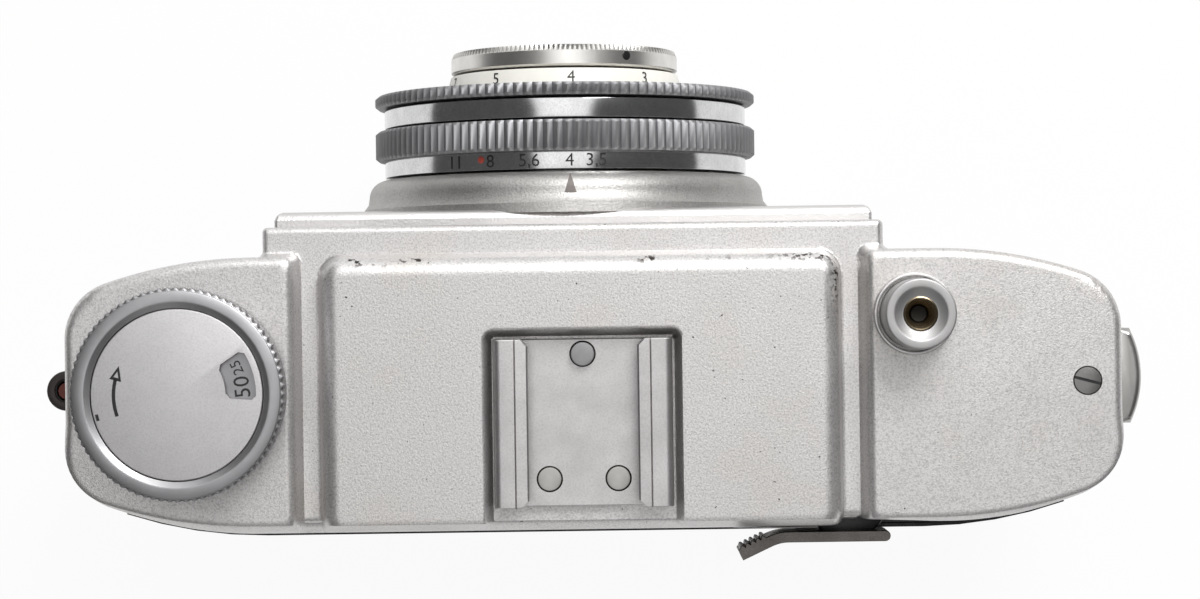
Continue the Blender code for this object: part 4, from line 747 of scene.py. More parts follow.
def lathe(name, profile, material, body, *nodes, slot, place=LENS_PLACE, steps=ROUND_STEPS, teeth=0):
    """Turns a closed profile about the Z axis of its place, with straight knurling if it has teeth."""
    count = teeth * len(TOOTH) if teeth else steps
    points, groove = [], []
    for step in range(count):
        angle = math.tau * step / count
        valley = TOOTH[step % len(TOOTH)]
        for radius, along, *depth in profile:
            reach = radius - (valley * depth[0] if depth else 0.0)
            points.append((reach * math.cos(angle), reach * math.sin(angle), along))
            # The groove share marks the knurl valleys, where the finishes paint shade and dirt.
            groove.append(valley if depth and depth[0] else 0.0)
    faces = strips(count, len(profile), closed=True)
    faces = [face for face in faces if len({points[v] for v in face}) > 2]
    return add_mesh(name, points, faces, material, body, *nodes, slot=slot, place=place, groove=groove)


def lens_face(x, along, radius):
    """The point at this many millimetres round a lens ring from its top, in the lens frame."""
    angle = math.pi / 2 + x / radius
    return (radius * math.cos(angle), radius * math.sin(angle), along)


PRINT_HEIGHT = 0.03
FONT_STEPS = 3


def numeral(name, text, size, material, body, warp, place, turn=0.0):
    """Figures printed on a surface: warp takes flat millimetres to a point in the place's frame."""
    font = bpy.data.curves.new(name, "FONT")
    font.body = text
    font.size = size
    font.align_x = "CENTER"
    font.align_y = "CENTER"
    font.resolution_u = FONT_STEPS
    holder = add_object(name + "_font", font)
    flat = settled_mesh(holder)
    bpy.data.objects.remove(holder)
    spin = Matrix.Rotation(turn, 2)
    points = [warp(*(spin @ vertex.co.xy)) for vertex in flat.vertices]
    faces = [tuple(face.vertices) for face in flat.polygons]
    return add_mesh(name, points, faces, material, body, place=place)


def printed(name, outline, material, body, warp, place):
    """One flat printed mark with this outline."""
    points = [warp(x, y) for x, y in outline]
    return add_mesh(name, points, [tuple(range(len(points)))], material, body, place=place)


# Lens. Places along it are forward lengths from the body's middle plane.


def lens_span(node):
    low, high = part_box(node)
    return -high.y / MM, -low.y / MM


FLANGE_BACK, FLANGE_FRONT = lens_span("lens_flange")
APERTURE_BACK, APERTURE_FRONT = lens_span("aperture_ring")
FOCUS_BACK, SCALE_FRONT = lens_span("focus_ring")
TUBE_BACK, BARREL_FRONT = lens_span("shutter_housing")
CELL_BACK, RING_FRONT = lens_span("front_lens_cell")
GAP = 0.3
APERTURE_KNURL = 3.8
FOCUS_KNURL = 1.55
BARREL_BACK = APERTURE_FRONT + GAP
RING_BACK = SCALE_FRONT + GAP
SHOULDER = 2.3
SHOULDER_INNER = 23.5
NUMBER_RADIUS = 23.7
KNURL_RADIUS = 24.9
WIDE_TEETH = 126
THIN_TEETH = 126
FRONT_TEETH = 146
KNURL_DEPTH = 0.42
RING_BORE = 19.3
KNURL_FOOT = 23.0
FLANGE_FOOT = (26.6, 26.5)
FLANGE_SINK = 0.7
FLANGE_SLOPE = 0.15
TUBE_RADIUS = 19.0
TUBE_BORE = 10.0
CHAMBER_RADIUS = 18.0
CHAMBER_BACK, CHAMBER_FRONT = 21.1, 26.2
FOCUS_BORE = 13.7
BEZEL_BORE = 10.35
SCALE_RADII = (15.6, 14.9)
GLASS_RADIUS = 10.2
GLASS_EDGE = 1.65
GLASS_BULGE = 1.2
GLASS_STEPS = 14
FACE_GROOVES = (23.6, 16.9)
GROOVE_SECTION = ((0, 0), (0.15, 0.2), (0.45, 0.2), (0.6, 0))
FACE_BAND = (17.2, 22.7)
FACE_PAINT = 0.04
RING_EDGE = 0.12


def ring_profile(inner, outer, low, high):
    """The section of a plain ring."""
    return [(inner, low), (outer, low), (outer, high), (inner, high)]


def knurled_band(back, front, radius, foot_back, foot_front):
    """The outer side of a knurled ring, with its teeth bevelled at both ends."""
    depth = KNURL_DEPTH
    bevel = min(0.35, 0.25 * (front - back))
    return [
        (foot_back, back),
        (radius - depth, back, 0.0),
        (radius, back + bevel, depth),
        (radius, front - bevel, depth),
        (radius - depth, front, 0.0),
        (foot_front, front),
    ]


def glass_profile(radius, back, edge, bulge):
    """A glass that bulges on both faces."""
    shares = [i / GLASS_STEPS for i in range(GLASS_STEPS + 1)]
    front = [(radius * share, back + edge + bulge * (1 - share**2)) for share in shares]
    return front + [(radius * share, back - bulge * (1 - share**2)) for share in reversed(shares)]


def lens_rings():
    start = FLANGE_FRONT - SHOULDER
    outer = SHOULDER_INNER + SHOULDER
    foot = FLANGE_BACK - FLANGE_SINK
    profile = [(RING_BORE, foot), (FLANGE_FOOT[0], foot), (FLANGE_FOOT[1], FLANGE_BACK + 0.5)]
    profile += [(outer + 0.15, start - 0.9)]
    profile += [(r, f) for f, r in arc_points((start, SHOULDER_INNER), SHOULDER, math.pi / 2, 0, 12)]
    profile += [(RING_BORE, FLANGE_FRONT)]
    lathe("flange_cone", profile, M_FLANGE, "root", "lens_flange", slot="satin_chrome")

    step = APERTURE_FRONT - APERTURE_KNURL
    band = rounded(ring_profile(RING_BORE, NUMBER_RADIUS, APERTURE_BACK, step), RING_EDGE)
    lathe("number_band", band, M_TURNED, "aperture_ring", "aperture_ring", slot="chrome")
    knurl = [(RING_BORE, step)] + knurled_band(step, APERTURE_FRONT, KNURL_RADIUS, KNURL_FOOT, 22.6)
    knurl += [(RING_BORE, APERTURE_FRONT)]
    lathe("aperture_knurl", knurl, M_KNURL, "aperture_ring", slot="chrome", teeth=WIDE_TEETH)

    barrel = [(FOCUS_BORE, BARREL_FRONT), (NUMBER_RADIUS, BARREL_FRONT), (NUMBER_RADIUS, BARREL_BACK)]
    barrel += [(TUBE_RADIUS, BARREL_BACK), (TUBE_RADIUS, TUBE_BACK), (TUBE_BORE, TUBE_BACK)]
    barrel += [(TUBE_BORE, CHAMBER_BACK), (CHAMBER_RADIUS, CHAMBER_BACK)]
    barrel += [(CHAMBER_RADIUS, CHAMBER_FRONT), (FOCUS_BORE, CHAMBER_FRONT)]
    lathe("shutter_barrel", rounded(barrel, 0.2), M_TURNED, "root", "shutter_housing", slot="chrome")

    face = FOCUS_BACK + FOCUS_KNURL
    thin = [(FOCUS_BORE, FOCUS_BACK)] + knurled_band(FOCUS_BACK, face, KNURL_RADIUS, KNURL_FOOT, 24.2)
    for radius in FACE_GROOVES:
        thin += [(radius - inset, face - sink) for inset, sink in GROOVE_SECTION]
    thin += [(FOCUS_BORE, face)]
    lathe("focus_knurl", thin, M_KNURL, "focus_ring", "focus_ring", slot="chrome", teeth=THIN_TEETH)
    band = ring_profile(*FACE_BAND, face - 0.3, face + FACE_PAINT)
    lathe("focus_face", rounded(band, 0.03), M_FACE, "focus_ring", slot="black_paint")
    wide, narrow = SCALE_RADII
    scale = [(FOCUS_BORE, face), (wide, face), (narrow, SCALE_FRONT), (FOCUS_BORE, SCALE_FRONT)]
    lathe("focus_scale", rounded(scale, RING_EDGE), M_CREAM, "focus_ring", slot="scale_paint")

    ring = [(11.9, RING_BACK), (13.4, RING_BACK - 0.2), (14.6, RING_BACK), (14.85, RING_BACK + 0.25)]
    ring += [(14.85, RING_FRONT - 0.75, 0.0), (14.8, RING_FRONT - 0.65, 0.14), (14.55, RING_FRONT, 0.14)]
    ring += [(14.0, RING_FRONT, 0.0), (13.4, RING_FRONT - 0.15), (13.0, RING_FRONT - 0.25)]
    lathe("front_ring", ring, M_RING, "front_cell", "front_lens_cell", slot="chrome", teeth=FRONT_TEETH)
    bezel = [(13.0, RING_FRONT - 0.3), (11.9, RING_FRONT - 0.4), (BEZEL_BORE, RING_BACK)]
    bezel += [(BEZEL_BORE, RING_FRONT - 4.4), (9.0, RING_FRONT - 4.4), (9.0, RING_FRONT - 4.7)]
    bezel += [(11.8, CELL_BACK), (13.3, CELL_BACK), (13.3, RING_BACK)]
    lathe("front_cell_tube", bezel, M_BLACK, "front_cell", slot="black_paint")
    glass = glass_profile(GLASS_RADIUS, lens_span("front_lens")[0] + GLASS_BULGE, GLASS_EDGE, GLASS_BULGE)
    lathe("front_glass", glass, M_LENS, "front_cell", "front_lens", slot="glass")
    back, front = lens_span("front_lens_retainer")
    keeper = [(GLASS_RADIUS, back), (GLASS_RADIUS, front), (9.1, front), (9.1, back + 0.15)]
    lathe(
        "glass_keeper", rounded(keeper, RING_EDGE), M_BLACK, "front_cell", "front_lens_retainer",
        slot="black_paint",
    )


def set_screw():
    """The grub screw that holds the front ring, with a domed end."""
    low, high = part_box("set_screw")
    centre = (low + high) / 2
    out = Vector((centre.x - LENS_X, 0, centre.z - LENS_Z)).normalized()
    turn = out.to_track_quat("Z", "Y").to_matrix().to_4x4()
    place = Matrix.Translation((LENS_X, centre.y, LENS_Z)) @ turn
    profile = [(0, 14.1), (0.6, 14.1), (0.6, 14.87), (0.5, 14.95), (0.2, 14.98), (0, 14.98)]
    lathe("set_screw_end", profile, M_GUN, "front_cell", "set_screw", slot="steel", place=place, steps=32)


def around(radius, x, along, lean=0.0):
    """A warp that prints flat figures on a lens ring, centred on this place. lean is the cone's slope."""
    return lambda u, v: lens_face(x + u, along + v, radius + PRINT_HEIGHT - lean * v)


# Where the figures stand round the rings, in degrees from the top, and their height in millimetres.
FIRST_STOP = 2.0
STOP_STEP = 12.2
WIDEST_STEP = 8.0
RED_STOP = 2.25
RED_DOT = 0.45
STOP_SIZE = 2.25
DISTANCE_SIZE = 2.1
DISTANCES = (("3", 43), ("4", 4), ("5", -34), ("7", -68), ("10", -100), ("20", -132))


def lens_numbers():
    middle_line = (APERTURE_BACK + APERTURE_FRONT - APERTURE_KNURL) / 2 - 0.1
    stops = [("3,5", FIRST_STOP + WIDEST_STEP), ("4", FIRST_STOP)]
    stops += [(text, FIRST_STOP - (1 + i) * STOP_STEP) for i, text in enumerate(("5,6", "8", "11"))]
    for number, (text, degrees) in enumerate(stops):
        warp = around(NUMBER_RADIUS, math.radians(degrees) * NUMBER_RADIUS, middle_line)
        numeral(f"stop_number_{number}", text, STOP_SIZE, M_INK, "aperture_ring", warp, LENS_PLACE)
    at = math.radians(FIRST_STOP - RED_STOP * STOP_STEP) * NUMBER_RADIUS
    dot = arc_points((0, 0), RED_DOT, 0, math.tau * 15 / 16, 15)
    warp = around(NUMBER_RADIUS, at, middle_line + 0.3)
    printed("red_stop_mark", dot, M_RED_INK, "aperture_ring", warp, LENS_PLACE)
    radius = sum(SCALE_RADII) / 2
    middle_line = (FOCUS_BACK + FOCUS_KNURL + SCALE_FRONT) / 2 + 0.1
    lean = (SCALE_RADII[0] - SCALE_RADII[1]) / (SCALE_FRONT - FOCUS_BACK - FOCUS_KNURL)
    for number, (text, degrees) in enumerate(DISTANCES):
        warp = around(radius, math.radians(degrees) * radius, middle_line, lean)
        numeral(f"distance_number_{number}", text, DISTANCE_SIZE, M_INK, "focus_ring", warp, LENS_PLACE)
    index_triangle()


INDEX_ROWS = 10
INDEX_SPAN = (-2.7, -0.25)
INDEX_HALF = 0.72


def flange_radius(along):
    """The flange's radius this far along the lens: a slight cone, then the round shoulder."""
    start = FLANGE_FRONT - SHOULDER
    if along < start:
        return SHOULDER_INNER + SHOULDER + (start - along) * FLANGE_SLOPE
    return SHOULDER_INNER + math.sqrt(SHOULDER**2 - (along - start) ** 2)


def index_triangle():
    """The grey index on the flange's shoulder, in strips that follow its curve."""
    points = []
    for row in range(INDEX_ROWS):
        share = row / (INDEX_ROWS - 1)
        along = FLANGE_FRONT + INDEX_SPAN[0] + share * (INDEX_SPAN[1] - INDEX_SPAN[0])
        radius = flange_radius(along) + 2 * PRINT_HEIGHT
        half = INDEX_HALF * (1 - share) + 0.01
        middle_x = math.radians(FIRST_STOP) * radius
        points += [lens_face(middle_x + side * half, along, radius) for side in (-1, 1)]
    faces = [(i, i + 1, i + 3, i + 2) for i in range(0, len(points) - 2, 2)]
    add_mesh("index_triangle", points, faces, M_INDEX, "root", place=LENS_PLACE)


lens_rings()
set_screw()
lens_numbers()


# Top fittings


def middle(node):
    """A node's middle in plan, in millimetres, and its lowest and highest place."""
    low, high = box_mm(node)
    return (low.x + high.x) / 2, (low.y + high.y) / 2, low.z, high.z


def signed_area(outline):
    return sum(a[0] * b[1] - b[0] * a[1] for a, b in zip(outline, outline[1:] + outline[:1])) / 2


def carve(obj, outline, low, high):
    """Cuts an upright prism with this outline out of a piece, in the piece's own frame."""
    count = len(outline)
    if signed_area(outline) < 0:
        outline = outline[::-1]
    points = [(x * MM, y * MM, z * MM) for z in (low, high) for x, y in outline]
    bottom, top = caps(2, count)
    mesh = bpy.data.meshes.new("cutter")
    mesh.from_pydata(points, [], strips(2, count) + [bottom[::-1], top])
    cutter = add_object("cutter", mesh)
    cutter.matrix_world = obj.matrix_world.copy()
    cut = obj.modifiers.new("cut", "BOOLEAN")
    cut.operation = "DIFFERENCE"
    cut.object = cutter
    bpy.context.view_layer.update()
    result = settled_mesh(obj)
    obj.modifiers.remove(cut)
    bpy.data.objects.remove(cutter)
    obj.data = result
    result.set_sharp_from_angle(angle=SHARP_ANGLE)


def level(height):
    """A warp that prints flat marks on a level face."""
    return lambda x, y: (x, y, height + PRINT_HEIGHT)


KNOB_RADIUS = 12.4
KNOB_TEETH = 80
RIM_TOP = 10.65
DIAL_SEAT = 9.97
WINDOW_ANGLES = (175.5, 214.0)
WINDOW_RADII = (5.6, 9.1)
ARROW_RADIUS = 7.2
ARROW_ANGLES = (19.0, -15.0)
ARROW_LINE = 0.4
ARROW_HEAD = (1.6, 0.7, 0.1)
ARROW_HOLLOW = 0.42
DASH_RADII = (9.6, 9.25)
DASH_ANGLES = (13, 17.5)
DIAL_RADIUS = 9.85
INDEX_RADIUS = 9.6
KNOB_CUT = 0.28
KNOB_SHANK = 3.4
FILM_NUMBERS = (("50", 2.6, 186), ("25", 1.7, 204))
FILM_NUMBER_RADIUS = 7.5


def sector(angles, radii, corner=0.5):
    """The outline of a window between two angles and two radii, with its corners cut round."""
    start, end = np.radians(angles)
    outline = []
    for radius, first, last in ((radii[0], start, end), (radii[1], end, start)):
        inset = math.copysign(corner / radius, last - first)
        side = corner if radius == radii[0] else -corner
        outline.append(((radius + side) * math.cos(first), (radius + side) * math.sin(first)))
        outline += arc_points((0, 0), radius, first + inset, last - inset, 14)
        outline.append(((radius + side) * math.cos(last), (radius + side) * math.sin(last)))
    return outline


def rewind_knob():
    x, y, low, top = middle("rewind_knob")
    dial_low, dial_top = middle("rewind_dial")[2:]
    index_low, index_top = middle("film_index_disc")[2:]
    place = upright(x, y)
    foot = HOUSING_HIGH.z - 0.2
    profile = [(0, index_low - 0.15), (DIAL_SEAT, index_low - 0.15), (DIAL_SEAT, dial_top - 0.1)]
    profile += [(DIAL_SEAT + 0.08, dial_top - 0.05), (RIM_TOP - 0.1, top - 0.05), (RIM_TOP, top)]
    profile += [(RIM_TOP + 0.15, top), (KNOB_RADIUS - 0.6, top), (KNOB_RADIUS - 0.5, top - 0.06)]
    profile += [(KNOB_RADIUS - 0.45, top - 0.25, 0.0), (KNOB_RADIUS - 0.1, top - 0.32, KNOB_CUT)]
    profile += [(KNOB_RADIUS, top - 0.45, KNOB_CUT), (KNOB_RADIUS, top - 1.7, KNOB_CUT)]
    profile += [(KNOB_RADIUS - 0.4, top - 2.0, 0.0), (KNOB_RADIUS - 0.5, foot, 0.0)]
    profile += [(KNOB_SHANK, foot), (KNOB_SHANK, low), (0, low)]
    lathe(
        "knob_rim", profile, M_KNOB, "rewind_knob", "rewind_knob",
        slot="chrome", place=place, teeth=KNOB_TEETH,
    )

    disc = rounded(ring_profile(0, DIAL_RADIUS, dial_low, dial_top), 0.18)
    dial = lathe(
        "spun_dial", disc, M_SPUN, "rewind_dial", "rewind_dial",
        slot="spun_aluminium", place=place, steps=96,
    )
    carve(dial, sector(WINDOW_ANGLES, WINDOW_RADII), dial_low - 1, dial_top + 1)
    start, end = np.radians(ARROW_ANGLES)
    outer = arc_points((0, 0), ARROW_RADIUS + ARROW_LINE / 2, start, end, 16)
    inner = arc_points((0, 0), ARROW_RADIUS - ARROW_LINE / 2, start, end, 16)
    printed("arrow_line", outer + inner[::-1], M_INK, "rewind_dial", level(dial_top), place)
    arrow_head(end, dial_top, place)
    start, end = np.radians(DASH_ANGLES)
    dash = arc_points((0, 0), DASH_RADII[0], start, end, 4)
    dash += arc_points((0, 0), DASH_RADII[1], end, start, 4)
    printed("dial_mark", dash, M_INK, "rewind_dial", level(dial_top), place)

    plate = rounded(ring_profile(0, INDEX_RADIUS, index_low, index_top), 0.08)
    lathe(
        "index_plate", plate, M_PLATE, "rewind_knob", "film_index_disc", slot="nickel", place=place, steps=96
    )
    for number, (text, size, angle) in enumerate(FILM_NUMBERS):
        angle = math.radians(angle)
        at = (FILM_NUMBER_RADIUS * math.cos(angle), FILM_NUMBER_RADIUS * math.sin(angle))

        def warp(u, v, at=at):
            return level(index_top)(at[0] + u, at[1] + v)

        turn = angle - math.radians(270)
        numeral(f"film_number_{number}", text, size, M_INK, "rewind_knob", warp, place, turn)


def arrow_head(angle, height, place):
    """A hollow triangle at the end of the rewind arrow."""
    tangent = Vector((math.sin(angle), -math.cos(angle)))
    across = Vector((math.cos(angle), math.sin(angle)))
    base = across * ARROW_RADIUS
    length, half, back = ARROW_HEAD
    corners = [base + tangent * length]
    corners += [base + across * side - tangent * back for side in (-half, half)]
    centre = sum(corners, Vector((0, 0))) / 3
    flat = corners + [centre + (corner - centre) * ARROW_HOLLOW for corner in corners]
    points = [level(height)(*corner) for corner in flat]
    add_mesh("arrow_head", points, strips(2, 3), M_INK, "rewind_dial", place=place)


BUTTON_RADIUS = 4.1
DISH_RADIUS = 3.0
THREAD_RADIUS = 2.0
THREAD_STEPS = 9
STEM_RADIUS = 2.2
COLLAR_RADII = (4.4, 4.8)


def release_button():
    x, y, low, top = middle("release_button")
    place = upright(x, y)
    skirt = HOUSING_HIGH.z - 0.6
    bore = top - 4.0
    profile = [(0, low), (STEM_RADIUS, low), (STEM_RADIUS, skirt), (BUTTON_RADIUS, skirt)]
    profile += [(BUTTON_RADIUS, top - 0.4)]
    profile += arc_points((BUTTON_RADIUS - 0.25, top - 0.25), 0.25, 0.0, math.pi / 2, 5)
    profile += [(DISH_RADIUS + 0.25, top), (DISH_RADIUS + 0.1, top - 0.02), (DISH_RADIUS, top - 0.08)]
    profile += [(STEM_RADIUS, top - 0.66), (THREAD_RADIUS + 0.02, top - 0.7)]
    profile += [(THREAD_RADIUS + 0.02, bore), (0, bore)]
    lathe(
        "button_cap", profile, M_BUTTON, "release_button", "release_button",
        slot="chrome", place=place, steps=96,
    )
    thread = [(THREAD_RADIUS, bore + 0.05), (THREAD_RADIUS, top - 0.72), (1.85, top - 0.66)]
    for step in range(THREAD_STEPS):
        share = step / (THREAD_STEPS - 1)
        thread.append((1.72 - 0.75 * share + (0.16 if step % 2 else 0.0), top - 0.75 - 2.1 * share))
    thread += [(0.7, top - 3.0), (0, top - 3.2), (0, bore + 0.05)]
    lathe(
        "thread_insert", thread, M_BRASS, "release_button", "release_thread",
        slot="brass", place=place, steps=64,
    )
    # A dark plug deep in the thread's bore: painted shade.
    plug = [(0, top - 2.75), (0.6, top - 2.7), (0.9, top - 2.6), (0.9, top - 2.85), (0, top - 3.1)]
    lathe("thread_bottom", plug, M_DIRT_AND_SHADE, "release_button", slot="black_paint", place=place, steps=32)

    low, top = middle("release_collar")[2:]
    collar = rounded(ring_profile(*COLLAR_RADII, low, top), 0.18)
    lathe(
        "button_collar", collar, M_SATIN, "root", "release_collar", slot="satin_chrome", place=place, steps=96
    )


SCREW_RADIUS = 1.56
SCREW_TURN = math.radians(-15)
SLOT_HALF = 0.17
SLOT_DEPTH = 0.85
SLOT_SHARE = 0.97
SCREW_SHADE_RING = 0.16


def slotted_screw():
    """The housing screw: a low dome with a slot, a dark ring round its edge and a black sheet in the slot,
    both painted shade.
    """
    x, y, low, top = middle("housing_screw")
    place = upright(x, y)
    side = DECK_TOP + 0.05
    dome = [(SCREW_RADIUS * share, side + (top - side) * (1 - share**2)) for share in np.linspace(0, 1, 9)]
    profile = dome + [(SCREW_RADIUS, side - 0.3), (SCREW_RADIUS - 0.1, low), (0, low)]
    screw = lathe(
        "screw_head", profile, M_SCREW, "root", "housing_screw",
        slot="steel", place=place, steps=64,
    )
    along = Vector((math.cos(SCREW_TURN), math.sin(SCREW_TURN)))
    across = Vector((-math.sin(SCREW_TURN), math.cos(SCREW_TURN))) * SLOT_HALF

    def slot_outline(half):
        reach = along * half
        return [reach + across, across - reach, -reach - across, reach - across]

    carve(screw, slot_outline(2), top - SLOT_DEPTH, top + 1)
    # A dark ring on the deck round the head: painted shade.
    inner = SCREW_RADIUS - 0.05
    rim = [(inner, DECK_TOP), (SCREW_RADIUS + SCREW_SHADE_RING, DECK_TOP), (inner, side)]
    lathe("screw_rim_shade", rim, M_DIRT_AND_SHADE, "root", slot="black_paint", place=place, steps=64)
    # A black sheet down in the slot: painted shade.
    floor = slot_outline(SLOT_SHARE * SCREW_RADIUS)
    printed("screw_slot_shade", floor, M_INK, "root", level(DECK_TOP), place)


SHOE_BEND = 0.9
RAIL_LINE = 7.95
RAIL_INNER = 6.4
RAIL_CHAMFER = 0.8
CHANNEL = 9.3
RAIL_UNDER = 70.05
SHOE_FLOOR = 67.95
SHOE_MARKS = (0.0, 0.12, 0.45, RAIL_CHAMFER, 3.0)
SHOE_EASE = 0.1
HEAD_RADIUS = 1.4
DIRT_AND_SHADE_RADII = (1.36, 1.56)


def shoe_section(low, top, chamfer, outer, ease):
    """Half of the shoe's cross section, from under its middle round the folded rail to its floor."""
    inner = RAIL_INNER + chamfer
    bend = arc_points((outer - SHOE_BEND, top - SHOE_BEND), SHOE_BEND, 0, math.pi / 2, 8)
    half = [(outer, low + ease)] + [(u - ease * 0.3, z - ease) for u, z in bend]
    half += [(RAIL_LINE + 0.1, top - ease), (RAIL_LINE, top - 0.22), (RAIL_LINE - 0.1, top - ease)]
    half += [(inner + 0.2, top - 0.06 - ease), (inner + 0.03, top - 0.2), (inner, RAIL_UNDER + 0.15 + ease)]
    half += [(inner + 0.15, RAIL_UNDER + ease), (CHANNEL - 0.3, RAIL_UNDER), (CHANNEL, RAIL_UNDER - 0.3)]
    return half + [(CHANNEL, SHOE_FLOOR + 0.4), (CHANNEL - 0.4, SHOE_FLOOR - ease)]


def accessory_shoe():
    """The folded shoe, its stop pin and its two rivets."""
    shoe_low, shoe_high = box_mm("accessory_shoe")
    x = (shoe_low.x + shoe_high.x) / 2
    outer = (shoe_high.x - shoe_low.x) / 2
    points = []
    places = [shoe_low.y + mark for mark in SHOE_MARKS]
    places += [shoe_high.y - mark for mark in reversed(SHOE_MARKS)]
    for along in places:
        end = min(along - shoe_low.y, shoe_high.y - along)
        ease = SHOE_EASE if end < SHOE_EASE / 2 else 0.0
        half = shoe_section(shoe_low.z, shoe_high.z, max(0.0, RAIL_CHAMFER - end), outer, ease)
        ring = half + [(-u, z) for u, z in reversed(half)]
        points += [(x + u, along, z) for u, z in ring]
    faces = strips(len(places), len(ring)) + caps(len(places), len(ring))
    add_mesh("shoe_folded", points, faces, M_SHOE, "root", "accessory_shoe", slot="nickel")
    # Dark rings round the feet of the pin and rivets: painted shade and dirt.
    shoe_dirt_and_shade("stop_pin_dirt_and_shade", "shoe_stop_pin")
    shoe_head("stop_pin_head", "shoe_stop_pin", M_PIN, 0.14)
    for side in ("left", "right"):
        shoe_head(f"rivet_head_{side}", f"shoe_rivet_{side}", M_RIVET, 0.12)
        shoe_dirt_and_shade(f"rivet_dirt_and_shade_{side}", f"shoe_rivet_{side}")


def shoe_head(name, node, material, edge):
    """A round head on the shoe's floor."""
    x, y, low, top = middle(node)
    profile = rounded(ring_profile(0, HEAD_RADIUS, low, top), edge)
    lathe(name, profile, material, "root", node, slot="nickel", place=upright(x, y), steps=64)


def shoe_dirt_and_shade(name, node):
    """A dark ring round the foot of this node's head: painted shade and dirt."""
    inner, outer = DIRT_AND_SHADE_RADII
    ring = [(inner, SHOE_FLOOR), (outer, SHOE_FLOOR), (inner, SHOE_FLOOR + 0.1)]
    place = upright(*middle(node)[:2])
    lathe(name, ring, M_DIRT_AND_SHADE, "root", slot="black_paint", place=place, steps=64)


rewind_knob()
release_button()
slotted_screw()
accessory_shoe()


# Advance lever: a bent steel plate on a hub painted black, as painted shade in its slot

LEVER_PIVOT = (-30.2, 14.0)
LEVER_Y = (17.7, 19.0)
LEVER_BEND_X = -22.4
LEVER_LEAN = math.radians(25)
LEVER_TIP = 3.6
LEVER_TEETH = 5
LEVER_TOOTH = 0.42
LEVER_EASE = 0.1
LEVER_BEND_RADIUS = 6.0
TOOTH_START = 0.2
TOOTH_RUNS = (0.0, 0.12, 0.3, 0.5, 0.7, 0.88)
TOOTH_FULLNESS = 0.7
HUB_RADIUS = 4.9
HUB_BORE = 1.9


def lever_outline():
    """The plate's plan: a round end, a straight arm, a bend and a tip with teeth on its inner side."""
    inner, outer = LEVER_Y
    half = (outer - inner) / 2
    end_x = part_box("advance_lever")[0].x / MM + half
    outline = arc_points((end_x, inner + half), half, math.pi / 2, 3 * math.pi / 2, 8)
    along = Vector((math.cos(LEVER_LEAN), math.sin(LEVER_LEAN)))
    across = Vector((math.sin(LEVER_LEAN), -math.cos(LEVER_LEAN)))
    bend = (LEVER_BEND_X - 0.6, inner + LEVER_BEND_RADIUS)
    straight = -math.pi / 2
    outline += arc_points(bend, LEVER_BEND_RADIUS, straight, straight + LEVER_LEAN, 6)
    foot = Vector(outline[-1])
    pitch = (LEVER_TIP - TOOTH_START) / LEVER_TEETH
    for tooth in range(LEVER_TEETH):
        start = foot + along * (TOOTH_START + tooth * pitch)
        for run in TOOTH_RUNS:
            rise = LEVER_TOOTH * math.sin(math.pi * run) ** TOOTH_FULLNESS
            outline.append(tuple(start + along * run * pitch + across * rise))
    tip = foot + along * (LEVER_TIP + 0.25)
    outline += [tuple(tip), tuple(tip - across * (outer - inner))]
    outline += arc_points(bend, LEVER_BEND_RADIUS - (outer - inner), straight + LEVER_LEAN, straight, 6)
    return outline


def eased_prism(outline, levels):
    """Rings of the outline at (height, inset) levels, closed at both ends."""
    if signed_area(outline) > 0:
        outline = outline[::-1]
    count = len(outline)
    points = []
    for height, inset in levels:
        for i, here in enumerate(outline):
            before, after = Vector(outline[i - 1]), Vector(outline[(i + 1) % count])
            side = (after - before).normalized()
            inward = Vector((side.y, -side.x)) * inset
            points.append((here[0] + inward.x, here[1] + inward.y, height))
    return points, strips(len(levels), count) + caps(len(levels), count)


def advance_lever():
    low, high = middle("advance_lever")[2:]
    levels = ((low, LEVER_EASE), (low + LEVER_EASE, 0), (high - LEVER_EASE, 0), (high, LEVER_EASE))
    points, faces = eased_prism(lever_outline(), levels)
    add_mesh("lever_plate", points, faces, M_LEVER, "advance_lever", "advance_lever", slot="steel")
    # The hub is black enamel: painted shade where it sits in the housing's slot.
    hub = rounded([(HUB_BORE, low), (HUB_RADIUS, low), (HUB_RADIUS, high - 1.6), (HUB_BORE, high - 1.2)], 0.3)
    lathe("lever_hub", hub, M_BLACK, "advance_lever", slot="steel", place=upright(*LEVER_PIVOT), steps=64)


advance_lever()


# Hinge and latch

HINGE_SLEEVE = (1.35, 2.44)
HINGE_KNUCKLE = 12.3
HINGE_GAP = 0.3
HINGE_EDGE = 0.35


def hinge_sleeves():
    """A round sleeve over each faceted knuckle."""
    x, y, low, high = middle("hinge_pin")
    lower = low + HINGE_KNUCKLE
    upper = high - HINGE_KNUCKLE
    spans = (
        ("bottom", low, lower, "root"),
        ("middle", lower + HINGE_GAP, upper - HINGE_GAP, "back_door"),
        ("top", upper, high + 0.01, "root"),
    )
    for name, start, end, body in spans:
        profile = rounded(ring_profile(*HINGE_SLEEVE, start, end), HINGE_EDGE)
        lathe(
            f"hinge_sleeve_{name}", profile, M_HINGE, body, slot="cast_metal", place=upright(x, y), steps=48
        )


LATCH_LIP = 2.4
LATCH_EDGE = 0.85


